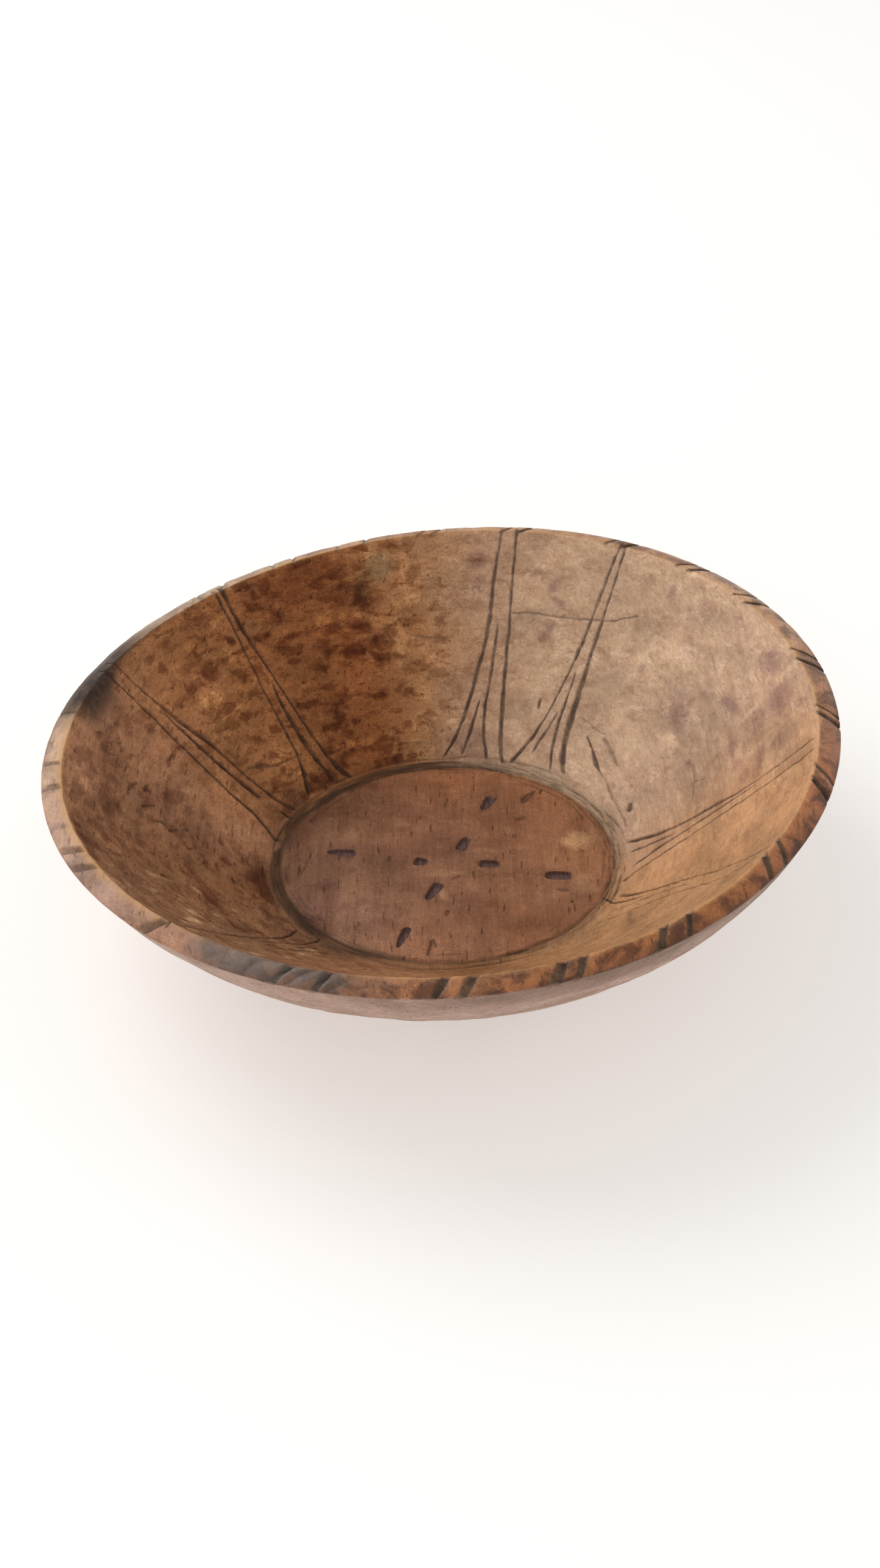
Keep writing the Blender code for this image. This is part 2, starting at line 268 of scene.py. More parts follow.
def hashed(x, y, z, seed):
    """A repeatable random number from 0 to 1 for each whole-number place."""
    mixed = np.uint32(seed * 974711)
    for value, factor in ((x, 374761393), (y, 668265263), (z, 2147443634)):
        mixed = mixed + value.astype(np.uint32) * np.uint32(factor)
    for shift, factor in ((13, 1274126177), (16, 2246822519)):
        mixed = (mixed ^ (mixed >> np.uint32(shift))) * np.uint32(factor)
    return (mixed ^ (mixed >> np.uint32(15))) / 4294967295.0


def noise(places, size, seed, stretch=(1, 1, 1)):
    """Smooth noise from -1 to 1, with swells about as wide as size."""
    scaled = [places[..., axis] / (size * stretch[axis]) + 500 for axis in range(3)]
    cells = [np.floor(value).astype(np.int64) for value in scaled]
    fades = [value - cell for value, cell in zip(scaled, cells)]
    fades = [f * f * f * (f * (f * 6 - 15) + 10) for f in fades]
    total = 0
    for corner in itertools.product((0, 1), repeat=3):
        weight = 1
        for far, fade in zip(corner, fades):
            weight = weight * (fade if far else 1 - fade)
        x, y, z = (cell + far for cell, far in zip(cells, corner))
        total = total + weight * hashed(x, y, z, seed)
    return total * 2 - 1


def scallops(across, along, count, seed):
    """Hollows left by a tool, one to a cell: 0 at a cell's edge and 1 in its middle.

    across is in cells round the bowl and wraps after count; along is in cells. The second
    result is a random number for each cell.
    """
    cell_x, cell_y = np.floor(across).astype(np.int64), np.floor(along).astype(np.int64)
    nearest, second = np.full(across.shape, 9.0), np.full(across.shape, 9.0)
    share = np.zeros(across.shape)
    for dx, dy in itertools.product((-1, 0, 1), repeat=2):
        column, row = (cell_x + dx) % count, cell_y + dy + 50
        level = np.full_like(column, 3)
        point_x = cell_x + dx + 0.15 + 0.7 * hashed(column, row, level, seed)
        point_y = cell_y + dy + 0.15 + 0.7 * hashed(column, row, level, seed + 1)
        distance = np.hypot(across - point_x, along - point_y)
        second = np.minimum(np.maximum(distance, nearest), second)
        share = np.where(distance < nearest, hashed(column, row, level, seed + 2), share)
        nearest = np.minimum(distance, nearest)
    return np.clip((second - nearest) / 0.9, 0, 1), share


def curve_through(stops, count=60):
    """Points on a smooth curve through the stops, which may have any number of values."""
    stops = np.array(stops, float)
    padded = np.vstack([2 * stops[0] - stops[1], stops, 2 * stops[-1] - stops[-2]])
    points = []
    for index in range(len(stops) - 1):
        p0, p1, p2, p3 = padded[index:index + 4]
        for t in np.linspace(0, 1, count // (len(stops) - 1) + 2)[:-1]:
            points.append(0.5 * (2 * p1 + (p2 - p0) * t + (2 * p0 - 5 * p1 + 4 * p2 - p3) * t ** 2
                                 + (3 * p1 - p0 - 3 * p2 + p3) * t ** 3))
    return np.vstack([points, stops[-1]])


def distance_to_line(u, v, line):
    """Distance from each (u, v) to a broken line, and the line's third value at that place."""
    best, value = np.full(u.shape, 1e9), np.zeros(u.shape)
    for (u0, v0, w0), (u1, v1, w1) in zip(line[:-1], line[1:]):
        du, dv = u1 - u0, v1 - v0
        share = np.clip(((u - u0) * du + (v - v0) * dv) / (du * du + dv * dv + 1e-9), 0, 1)
        distance = np.hypot(u - u0 - share * du, v - v0 - share * dv)
        closer = distance < best
        best = np.where(closer, distance, best)
        value = np.where(closer, w0 + share * (w1 - w0), value)
    return best, value


# ---- the turned profile ------------------------------------------------------------------------

def inner_wall(height):
    bowed = height + WALL_HOLLOW * height * (1 - height)
    radius = FOOT_RADIUS + (LIP_RADIUS - FOOT_RADIUS) * bowed
    return radius, FLOOR_THICKNESS + (LIP_Z - FLOOR_THICKNESS) * height


def outer_wall(z):
    depth = RIM_HEIGHT - z
    return RIM_RADIUS - OUTER_SLOPE * depth - OUTER_CURVE * depth ** 2


class Profile:
    """The turned outline, sampled finely, with rounded corners and its lengths measured."""

    STEP = 0.25
    SAMPLES = 80                # along each wall
    REACH = 24                  # steps on each side that a rounded corner draws on

    def __init__(self):
        heights = np.linspace(0, 1, self.SAMPLES)
        drops = np.linspace(RIM_HEIGHT, 0, self.SAMPLES)
        corners = [(0, FLOOR_THICKNESS), (FLOOR_RADIUS, FLOOR_THICKNESS)]
        corners += [inner_wall(height) for height in heights]
        corners += [(outer_wall(z), z) for z in drops]
        corners = np.array(corners + [(0, 0)])
        lengths = np.concatenate([[0], np.cumsum(np.hypot(*np.diff(corners, axis=0).T))])
        self.floor_end, self.foot = lengths[1:3]
        self.lip, self.edge = lengths[1 + self.SAMPLES:3 + self.SAMPLES]
        self.base, self.end = lengths[-2:]
        self.s = np.arange(0, self.end, self.STEP)
        rounding = 0.5 + 0.4 * bell(self.s - self.edge, 5) + 1.6 * bell(self.s - self.base, 6)
        self.radius, self.z = (self.rounded(np.interp(self.s, lengths, values), rounding)
                               for values in corners.T)

    def rounded(self, values, widths):
        """A running average whose width changes along the outline."""
        reach = self.REACH
        offsets = np.arange(-reach, reach + 1)
        padded = np.concatenate([2 * values[0] - values[reach:0:-1], values,
                                 2 * values[-1] - values[-2:-reach - 2:-1]])
        picked = padded[np.arange(len(values))[:, None] + offsets + reach]
        weights = np.exp(-0.5 * (offsets * self.STEP / widths[:, None]) ** 2)
        return (picked * weights).sum(1) / weights.sum(1)

    def rows(self):
        """Lengths along the outline at which the mesh has a row, closer where cuts are."""
        sections = ((0.4, self.floor_end, 1.0), (self.floor_end, self.foot + 2, 0.75),
                    (self.foot + 2, self.lip - 3, 1.0), (self.lip - 3, self.edge + 4, 0.75),
                    (self.edge + 4, self.base - 4, 2.0), (self.base - 4, self.base + 4, 1.5),
                    (self.base + 4, self.end - 1, 6.0))
        rows = []
        for start, stop, coarseness in sections:
            count = max(2, round((stop - start) / (ROW_STEP * coarseness)))
            rows.append(np.linspace(start, stop, count, endpoint=False))
        return np.concatenate(rows)

    def at(self, s):
        """Radius, z and the outward normal's two parts at a length along the outline."""
        radius, z = np.interp(s, self.s, self.radius), np.interp(s, self.s, self.z)
        run_r, run_z = (np.interp(s, self.s, np.gradient(values, self.STEP))
                        for values in (self.radius, self.z))
        size = np.hypot(run_r, run_z)
        return radius, z, -run_z / size, run_r / size


# ---- the carved surface ------------------------------------------------------------------------

class Surface:
    """Row-by-column numbers over the whole bowl: places, cut depths and stains.

    s is the length along the outline, and across and beyond are that length past the lip and
    past the rim's outer edge.
    """

    def __init__(self):
        self.profile = p = Profile()
        self.s = p.rows()[:, None]
        self.degrees = (np.arange(COLUMNS) * 360 / COLUMNS)[None, :]
        self.angle = np.radians(self.degrees)
        self.radius, self.z, self.normal_r, self.normal_z = p.at(self.s)
        self.rim_length = p.edge - p.lip
        self.height = (self.s - p.foot) / (p.lip - p.foot)
        self.across = self.s - p.lip
        self.beyond = self.across - self.rim_length
        self.on_floor = 1 - self.past(p.floor_end, 0.3, 0.3)
        self.on_wall = self.past(p.foot, 1, 1) * (1 - self.past(p.lip, 0.6, 0))
        self.on_rim = self.past(p.lip, 0.6, 0.2) * (1 - self.past(p.edge, 0.5, 1.2))
        self.on_outside = self.past(p.edge, 0.5, 1.5) * (1 - self.past(p.base, 1, 1))
        self.places = self.carved(self.radius + 0 * self.angle, self.z + 0 * self.angle)
        for layer in ("lift", "cuts", "dirt", "nicks", "gouged", "crease_lines"):
            setattr(self, layer, np.zeros(self.places.shape[:2]))

    def past(self, place, before, after):
        """0 until just before a place along the outline, and 1 from just after it."""
        return smooth(place - before, place + after, self.s)

    def carved(self, radius, z):
        """Places of the turned surface once it is pulled oval and tilted."""
        angle = self.angle
        rise = np.clip((z - FLOOR_THICKNESS) / (RIM_HEIGHT - FLOOR_THICKNESS), 0, 1)
        rim = RIM_OVAL * np.sin(2 * angle) - RIM_EGG * np.cos(3 * angle)
        floor = FLOOR_OVAL * np.cos(2 * (angle - math.radians(FLOOR_AXIS)))
        inside = 1 - smooth(-1, self.rim_length, self.across)
        thickening = (0.4 * np.cos(angle) + 0.55 * np.sin(angle)
                      + 0.3 * np.cos(2 * angle) + 0.8 * np.sin(2 * angle))
        full = radius + rise * rim + (1 - rise) * floor * np.clip(radius / FLOOR_RADIUS, 0, 1)
        full = full - inside * rise * thickening
        tilt = RIM_TILT * np.cos(angle) - RIM_WAVE * np.sin(2 * angle)
        return np.stack([full * np.cos(angle), full * np.sin(angle), z + rise * tilt], -1)

    def ring(self):
        """Places on an upright drum as wide as the crease, unrolled from the outline."""
        drum = (FOOT_RADIUS * np.cos(self.angle), FOOT_RADIUS * np.sin(self.angle), self.s)
        return np.stack([part + np.zeros_like(self.lift) for part in drum], -1)

    def turn_from(self, middle):
        """Degrees from an angle, from -180 to 180."""
        return (self.degrees - middle + 180) % 360 - 180

    def s_at(self, height):
        return self.profile.foot + height * (self.profile.lip - self.profile.foot)

    # -- broad shape

    def add_waves(self):
        """The slow unevenness of a form made by eye."""
        slow = noise(self.places, 60, 11) * 0.5 + noise(self.places, 28, 12) * 0.25
        self.lift += slow * (0.6 * self.on_wall + 0.2 * self.on_floor + 0.35 * self.on_rim)
        self.lift += (slow - 0.75) * 0.3 * self.on_outside

    def add_facets(self):
        """Scallops of the gouge inside, broad adze flats outside and flats on the rim."""
        bend = noise(self.places, 14, 21) * 0.35
        self.stains = self.hollow_out(GOUGE_HOLLOWS, self.on_wall, bend, bend, 22)
        outside = self.on_outside * smooth(0, 12, self.beyond)
        self.hollow_out(ADZE_FLATS, outside, bend, bend, 25)
        self.hollow_out(RIM_FLATS, self.on_rim, bend, 0 * bend, 27)
        self.add_ropes()
        self.lift -= 0.15 * (1 + noise(self.places, 9, 28)) * self.on_floor
        self.lift += 0.07 * noise(self.places, 3.2, 29) * (self.on_wall + self.on_rim)

    def hollow_out(self, marks, where, bend_across, bend_along, seed):
        """Presses one tool's marks in, and gives each mark there a strength of its own."""
        count, length, depth = marks
        hollows, share = scallops(self.degrees / 360 * count + bend_across,
                                  self.s / length + bend_along, count, seed)
        self.lift -= depth * hollows * where
        return hollows * share * where

    def add_ropes(self):
        """Slanting flats, like the strands of a rope, where the burnt rim was scraped."""
        turn = self.turn_from(ASH_ANGLE)
        place = (turn + ROPE_SLANT * self.across) / ROPE_SPACING
        place = place + 0.4 * noise(self.places, 9, 35)
        clear = 0.3 + 0.7 * smooth(-6, 7, turn)
        strand = 1 - clear * (1 - np.abs(np.sin(np.pi * place)))
        self.ash = np.exp(-((turn / ASH_REACH) ** 2 + ((self.across - 4) / 6.5) ** 4) ** 2)
        # Painted highlights: the tops of the strands come out lighter in colour, the grooves
        # between them darker.
        self.rope_highlights = self.ash * strand
        self.lift -= ROPE_DEPTH * self.ash * (1 - strand ** 0.7) * self.on_rim

    def add_crease(self):
        """The ragged ring between the floor and the wall: torn fibres and knife lines."""
        start = self.profile.floor_end
        ring = self.ring()
        ragged = noise(ring, 2.5, 32, (4, 4, 1)) * 0.5 + noise(ring, 14, 33)
        clarity = around(CREASE_CLARITY, self.degrees)
        outer = start + around(CREASE_BAND, self.degrees) + 1.6 * ragged
        band = smooth(start - 0.3, start + 0.6, self.s + 0.8 * ragged)
        self.crease = band * (1 - smooth(outer - 2.5, outer + 2.0, self.s)) * clarity
        self.lift -= self.crease * (0.2 + 0.3 * ragged)
        self.lift += self.crease * 0.3 * noise(ring, 1.0, 31, (9, 9, 1))
        for offset, wide, depth, cover, seed in CREASE_LINES:
            wander = 0.9 * noise(ring, 16, seed) + 0.4 * noise(ring, 4, seed + 1)
            present = smooth(-cover, 0.35 - cover, noise(ring, 22, seed + 2))
            width = wide * (1 + 0.45 * noise(ring, 5, seed + 3))
            line = bell(self.s - start - offset - wander, width) * present * clarity
            self.lift -= depth * line
            self.crease_lines = np.maximum(self.crease_lines, line)

    # -- cuts

    def press(self, block, **layers):
        """Keeps the deeper of two cuts and the darker of two stains, layer by layer."""
        for name, values in layers.items():
            layer = getattr(self, name)
            layer[block] = np.maximum(layer[block], values)

    def add_stroke(self, middle, stops, seed):
        """A V-shaped stroke down the wall, with a thin raised burr beside it."""
        line = curve_through([(turn, self.s_at(height), width) for turn, height, width in stops])
        line = line[np.argsort(line[:, 1])] * (1, 1, STROKE_WIDENING)
        turns, lengths, widths = line.T
        spot = Spot(self, lengths[0] - 1, lengths[-1] + 1, middle, 20)
        centre = np.interp(spot.s, lengths, turns)
        width = np.interp(spot.s, lengths, widths) * (1 + 0.25 * noise(spot.places, 3.5, seed))
        lean = np.interp(spot.s, lengths, np.gradient(turns, lengths)) * np.radians(1) * spot.radius
        sway = 0.25 * noise(spot.places, 5, seed + 1)
        distance = np.abs(np.radians(spot.turn - centre) * spot.radius + sway)
        distance = distance / np.sqrt(1 + lean ** 2)
        ends = smooth(0, 3, spot.s - lengths[0])
        if stops[0][1] <= 1:
            ends = ends * smooth(0, 3, lengths[-1] - spot.s)
        half = width / 2 * (0.35 + 0.65 * ends)
        depth = np.minimum(width * STROKE_DEPTH, STROKE_MAX_DEPTH) * ends
        self.lift[spot.block] += 0.1 * depth * bell(distance - half * 1.35, 0.4 * half)
        self.press(spot.block, cuts=depth * np.clip(1 - distance / half, 0, 1) ** 0.8,
                   dirt=ends * (1 - smooth(half * 0.4, half * 1.25, distance)))

    def add_rim_cut(self, lip_angle, turn_back, width, seed):
        """A knife cut across the rim, steep on one side, that runs out over both edges."""
        spot = Spot(self, self.profile.lip - 2.5, self.profile.edge + 5, lip_angle, 9)
        share = (spot.s - self.profile.lip) / self.rim_length
        offset = np.radians(spot.turn + turn_back * share) * spot.radius
        offset = offset + 0.3 * noise(spot.places, 4, seed)
        half = RIM_CUT_WIDENING * width / 2 * (1 + 0.2 * noise(spot.places, 6, seed + 1))
        steep = np.where(offset > 0, offset / (0.6 * half), -offset / (1.4 * half))
        broad = around(LIP_BREADTH, lip_angle)
        start, stop = 0.22 * broad, 1.4 - 0.35 * broad
        reach = smooth(start - 0.28, start, share) * (1 - smooth(stop - 0.4, stop, share))
        clear = around(CUT_CLARITY, lip_angle)
        # Painted shade darkens the cut's steep side; it goes into the same layer as the dirt in the
        # other cuts.
        shadow = (offset > 0) * (1 - smooth(0.3, 1.2, steep))
        self.press(spot.block, dirt=0.8 * clear ** 2 * reach * shadow,
                   cuts=RIM_CUT_DEPTH * width * np.clip(1 - steep, 0, 1) ** 0.8 * reach,
                   nicks=clear * reach * (1 - smooth(0.8, 1.25, steep)))

    def add_wall_mark(self, depth, points, seed):
        """A crack or a slip of the gouge along a line on the wall."""
        middle = points[0][0]
        line = curve_through([(angle - middle, self.s_at(height), width)
                              for angle, height, width in points], 24)
        spot = Spot(self, line[:, 1].min() - 4, line[:, 1].max() + 4, middle,
                    np.abs(line[:, 0]).max() + 3)
        scale = np.radians(1) * spot.radius.mean()
        u = spot.turn * scale + 0.35 * noise(spot.places, 2.5, seed)
        v = spot.s + 0.35 * noise(spot.places, 2.5, seed + 1)
        distance, width = distance_to_line(u, v, line * (scale, 1, 1))
        half = np.maximum(width / 2, 0.45)
        dirt = min(1, 0.2 + 0.7 * depth) * (1 - smooth(0.5 * half, 1.5 * half, distance))
        self.press(spot.block, cuts=depth * np.clip(1 - distance / half, 0, 1) ** 0.7, dirt=dirt)

    def add_floor_cut(self, x, y, length, width, heading, depth, seed, taper=0, gouged=False):
        """A short cut in the floor. A gouge's ends are squarer and its sides steeper."""
        sharp, blunt, dirt = (0.45, 5, 0) if gouged else (0.9, 3, 0.6)
        rows = np.nonzero(self.s[:, 0] < self.profile.floor_end)[0]
        near = np.hypot(self.places[rows][..., 0] - x, self.places[rows][..., 1] - y) < length
        block = np.ix_(rows[near.any(1)], np.nonzero(near.any(0))[0])
        places = self.places[block]
        turn = math.radians(heading)
        east, north = places[..., 0] - x, places[..., 1] - y
        u = east * math.cos(turn) + north * math.sin(turn) + 0.3 * noise(places, 3, seed)
        v = north * math.cos(turn) - east * math.sin(turn) + 0.3 * noise(places, 3, seed + 1)
        half = width / 2 * (1 + taper * np.clip(u / (length / 2), -1, 1))
        inside = 1 - (np.abs(u / (length / 2)) ** blunt + np.abs(v / half) ** 2.5)
        self.press(block, cuts=depth * smooth(0, sharp, inside),
                   dirt=dirt * smooth(0, 0.4, inside),
                   gouged=gouged * smooth(-0.15, 0.15, inside))

    def add_cuts(self):
        seeds = itertools.count(100, 2)
        for middle, strokes in BUNDLES:
            for stops in strokes:
                self.add_stroke(middle, stops, next(seeds))
        for angles, turn_back, widths in RIM_CUTS:
            for lip_angle, width in zip(angles, widths):
                self.add_rim_cut(lip_angle, turn_back, width, next(seeds))
        for depth, points in WALL_MARKS:
            self.add_wall_mark(depth, points, next(seeds))
        for *outline, taper in FLOOR_CUTS:
            self.add_floor_cut(*outline, FLOOR_CUT_DEPTH, next(seeds), taper, gouged=True)
        for mark in FLOOR_MARKS:
            self.add_floor_cut(*mark, next(seeds))
        self.lift -= self.cuts

    def finished(self):
        """Places in metres with every cut pressed in. Only the inside rises at all."""
        lift = np.minimum(self.lift, 0) * (1 - self.on_floor - self.on_wall) + self.lift * (
            self.on_floor + self.on_wall)
        lift = lift - SKIN * (self.on_outside + self.on_rim)
        worn = smooth(0.45, 1.0, self.across / self.rim_length) * (1 - smooth(0, 6, self.beyond))
        radius = self.radius + self.normal_r * lift
        z = self.z + self.normal_z * lift - EDGE_WEAR * worn
        return self.carved(radius, z) * MM


class Spot:
    """The part of a surface near one mark; turn is in degrees from the mark's middle."""

    def __init__(self, surface, s_from, s_to, middle, reach):
        turn = surface.turn_from(middle)
        rows = np.nonzero((surface.s[:, 0] > s_from) & (surface.s[:, 0] < s_to))[0]
        columns = np.nonzero(np.abs(turn)[0] < reach)[0]
        self.block = np.ix_(rows, columns)
        self.s, self.turn = surface.s[rows], turn[:, columns]
        self.places = surface.places[self.block]
        self.radius = np.hypot(self.places[..., 0], self.places[..., 1])


# ---- colours and colouring masks --------------------------------------------------------------

# Linear colours round the bowl: (angle, colour)
WALL_TONES = (
    (7, (0.54, 0.335, 0.215)), (22, (0.57, 0.375, 0.255)), (37, (0.58, 0.39, 0.26)),
    (52, (0.55, 0.37, 0.245)), (67, (0.54, 0.36, 0.235)), (82, (0.44, 0.275, 0.175)),
    (97, (0.37, 0.18, 0.08)), (112, (0.25, 0.09, 0.03)), (127, (0.24, 0.091, 0.032)),
    (142, (0.315, 0.133, 0.05)), (157, (0.35, 0.157, 0.066)), (172, (0.42, 0.205, 0.108)),
    (187, (0.285, 0.134, 0.068)), (202, (0.265, 0.122, 0.056)), (217, (0.265, 0.129, 0.065)),
    (232, (0.263, 0.13, 0.066)), (247, (0.35, 0.163, 0.08)), (262, (0.37, 0.18, 0.085)),
    (277, (0.34, 0.155, 0.066)), (307, (0.49, 0.26, 0.125)), (322, (0.49, 0.268, 0.132)),
    (337, (0.58, 0.31, 0.152)), (352, (0.59, 0.33, 0.175)),
)
RIM_TONES = (
    (7, (0.3, 0.145, 0.072)), (22, (0.33, 0.18, 0.1)), (37, (0.39, 0.235, 0.14)),
    (52, (0.31, 0.145, 0.068)), (67, (0.42, 0.22, 0.1)), (82, (0.42, 0.23, 0.115)),
    (97, (0.37, 0.18, 0.08)), (112, (0.45, 0.275, 0.165)), (127, (0.47, 0.32, 0.21)),
    (187, (0.46, 0.29, 0.185)), (202, (0.41, 0.25, 0.17)), (217, (0.3, 0.175, 0.125)),
    (232, (0.36, 0.175, 0.098)), (262, (0.25, 0.112, 0.052)), (277, (0.225, 0.092, 0.036)),
    (307, (0.25, 0.095, 0.03)), (322, (0.215, 0.082, 0.03)), (337, (0.26, 0.098, 0.038)),
    (352, (0.225, 0.088, 0.038)),
)
OUTSIDE_TONES = (
    (0, (0.34, 0.19, 0.125)), (90, (0.36, 0.2, 0.125)), (180, (0.34, 0.19, 0.12)),
    (270, (0.33, 0.2, 0.145)),
)
# The crease's torn band: its own colour, which painted shade makes nearly black on the left
CREASE_TONES_AND_SHADE = (
    (0, (0.36, 0.22, 0.13)), (35, (0.34, 0.24, 0.155)), (70, (0.3, 0.205, 0.14)),
    (95, (0.2, 0.125, 0.075)), (118, (0.11, 0.055, 0.028)), (165, (0.1, 0.05, 0.028)),
    (215, (0.12, 0.06, 0.03)), (240, (0.2, 0.105, 0.05)), (280, (0.22, 0.11, 0.05)),
    (325, (0.23, 0.13, 0.068)), (345, (0.33, 0.195, 0.105)),
)
# What a stain multiplies the wood by, and the painted shade on the outside just under the rim:
# (angle, tone), tone
STAIN_TONES = (
    (10, (0.74, 0.68, 0.72)), (75, (0.72, 0.62, 0.6)), (95, (0.5, 0.36, 0.26)),
    (150, (0.42, 0.3, 0.22)), (180, (0.45, 0.36, 0.32)), (240, (0.5, 0.42, 0.36)),
    (290, (0.6, 0.5, 0.42)), (330, (0.78, 0.7, 0.64)),
)
UNDER_RIM_SHADE = (0.50, 0.46, 0.40)
# Linear colours of the floor: (x, y, colour)
FLOOR_TONES = (
    (0, 0, (0.265, 0.125, 0.068)), (60, 0, (0.36, 0.165, 0.08)), (0, 62, (0.34, 0.135, 0.06)),
    (45, 42, (0.3, 0.13, 0.063)), (-60, 0, (0.235, 0.12, 0.07)), (-45, -42, (0.42, 0.225, 0.135)),
    (0, -62, (0.39, 0.18, 0.1)), (-22, -20, (0.21, 0.1, 0.056)), (45, -22, (0.27, 0.125, 0.068)),
    (8, 42, (0.32, 0.14, 0.072)), (42, -44, (0.33, 0.145, 0.07)), (-42, 44, (0.19, 0.083, 0.043)),
    (0, 21, (0.225, 0.1, 0.057)),
)
# How strongly each shows at an angle: stains, veins, pale patches, the rim's brown patches, the
# painted shade at the rim's outer edge and under the rim (and painted light by the lip), the dark
# colour and painted shade in cuts across the rim, the lip's wear, and a wall free of fibres and
# flecks
STAINING = (
    (10, 0.5), (60, 0.55), (85, 0.65), (105, 1.2), (145, 1.15), (170, 0.6), (185, 0.9), (240, 0.8),
    (300, 0.45), (340, 0.35),
)
VEINING = (
    (10, 0.5), (45, 0.55), (80, 0.4), (100, 0.9), (145, 1), (170, 0.4), (215, 0.8), (240, 0.9),
    (300, 0.3), (340, 0.25),
)
PALENESS = (
    (0, 0.65), (70, 0.6), (95, 1), (240, 1), (300, 0.5),
)
RIM_PATCHING = (
    (15, 0.7), (60, 0.6), (90, 0.35), (180, 0.3), (230, 0.4), (262, 0.8), (350, 0.8),
)
EDGE_SHADE = (
    (10, 1), (60, 0.8), (100, 0.6), (180, 0.5), (200, 0.25), (262, 0.35), (285, 1),
)
CUT_CLARITY = (
    (85, 1), (93, 0.5), (125, 0.4), (140, 0.45), (150, 0.6), (222, 0.6), (245, 1),
)
LIP_WEAR = (
    (20, 0.8), (60, 0.4), (90, 0.5), (122, 0.9), (137, 0), (170, 0.1), (183, 0.9), (215, 0.9),
    (238, 0.3), (270, 0.6), (285, 0.4), (300, 0.95), (318, 0.9), (332, 0.3), (345, 0.3),
)
PLAINNESS = (
    (10, 0.9), (70, 0.8), (97, 0.2), (120, 0), (250, 0), (310, 0.4), (345, 0.7),
)
# Where the lip's edge is broad and rounded; how clear and how wide the crease's torn band is
LIP_BREADTH = (
    (170, 0), (180, 1), (222, 1), (245, 0),
)
CREASE_CLARITY = (
    (0, 0.9), (90, 0.9), (115, 0.8), (150, 0.75), (225, 0.7), (250, 0.7),
)
CREASE_BAND = (
    (0, 5), (30, 6.5), (80, 5.5), (105, 4.5), (130, 3), (230, 3), (265, 2.2), (335, 3.5),
)

# Patches of tone on the wall: (angle, height, reach in degrees, reach in height, strength), with
# heights and strengths in hundredths
DARK_PATCHES = (
    (118, 93, 12, 7, 60), (122, 86, 8, 6, 60), (113, 80, 5, 6, 60), (108, 79, 1.5, 5, 90),
    (125, 79, 2.5, 4, 70), (106, 73, 3, 3, 60), (124, 68, 2, 2, 80), (127, 66, 2.5, 4, 80),
    (115, 66, 3, 2, 80), (109, 66, 3, 3, 60), (118, 60, 3, 5, 70), (112, 55, 3.5, 2, 90),
    (106, 56, 2.5, 4, 80), (103, 60, 2.5, 3, 60), (120, 51.5, 3.5, 2, 80), (106, 49, 3, 3, 90),
    (127, 37, 4, 2, 90), (118, 36, 4, 2, 60), (121, 32, 5, 4, 50), (108, 32.5, 2.5, 1.8, 100),
    (124, 24.5, 3.5, 2.2, 100), (117, 23.5, 2.5, 1, 80), (121, 19, 3, 2, 70), (128, 17, 3, 5, 60),
    (122, 11, 4, 2, 80), (117, 10, 2.5, 1, 80), (126, 8, 3, 4, 60), (108, 3, 3, 1.5, 90),
    (112, 15, 5, 5, 30), (101, 3, 3, 1, 80), (146, 33, 2.5, 1.8, 90), (152, 42, 1.5, 1.4, 70),
    (148, 78, 4, 4, 60), (145, 70, 2.5, 5, 80), (151, 67, 4, 5, 50), (155, 76, 2.5, 2, 50),
    (141, 93, 5, 7, 60), (129, 90, 3, 10, 50), (138, 62, 4, 3, 50), (146, 47, 2.5, 3, 40),
    (137, 78, 1.2, 2, 100), (131, 74, 2.5, 2, 90), (151, 15, 3, 3, 70), (145, 14, 2, 1.5, 80),
    (150, 7, 5, 5, 60), (138, 3, 5, 5, 90), (133, 4, 3, 4, 80), (206, 96, 7, 3, 70),
    (190, 77, 5, 7, 60), (210, 83, 5, 5, 40), (200, 83, 3, 5, 40), (195, 55, 5, 4, 40),
    (190, 34, 4, 2, 50), (176, 82, 3.5, 5, 50), (213, 43, 3, 3, 60), (221, 40, 3, 2, 90),
    (201, 40, 3, 2, 60), (210, 37, 8, 5, 70), (223, 28, 3, 2, 80), (190, 20, 3, 3, 70),
    (198, 13, 8, 4, 50), (195, 4, 12, 5, 80), (188, 12, 2, 1.5, 60), (210, 10, 6, 4, 50),
    (217, 8, 3, 3, 60), (183, 22.5, 2, 1.2, 70), (179, 19, 1, 1, 80), (176, 86, 1.6, 1.2, 80),
    (172, 82, 3.5, 2, 60), (169, 77, 3, 4, 60), (166, 70, 2, 2, 60), (178, 51, 3, 2, 50),
    (169, 55, 2.5, 1, 90), (163, 55, 2, 1, 80), (180, 59, 1.5, 1, 80), (91, 60, 2.5, 4, 35),
    (91, 55, 1.5, 3, 45), (96, 90, 2, 2, 50), (94, 36, 1, 1.2, 60), (89, 14, 1.2, 1.2, 60),
    (98, 22.5, 1, 1, 60), (346, 23, 2, 2, 25), (345, 43, 4, 3, 20), (343, 86, 4, 3, 30),
    (337, 74, 3, 3, 20), (331, 62, 4, 4, 20), (310, 20, 8, 8, 30),
)
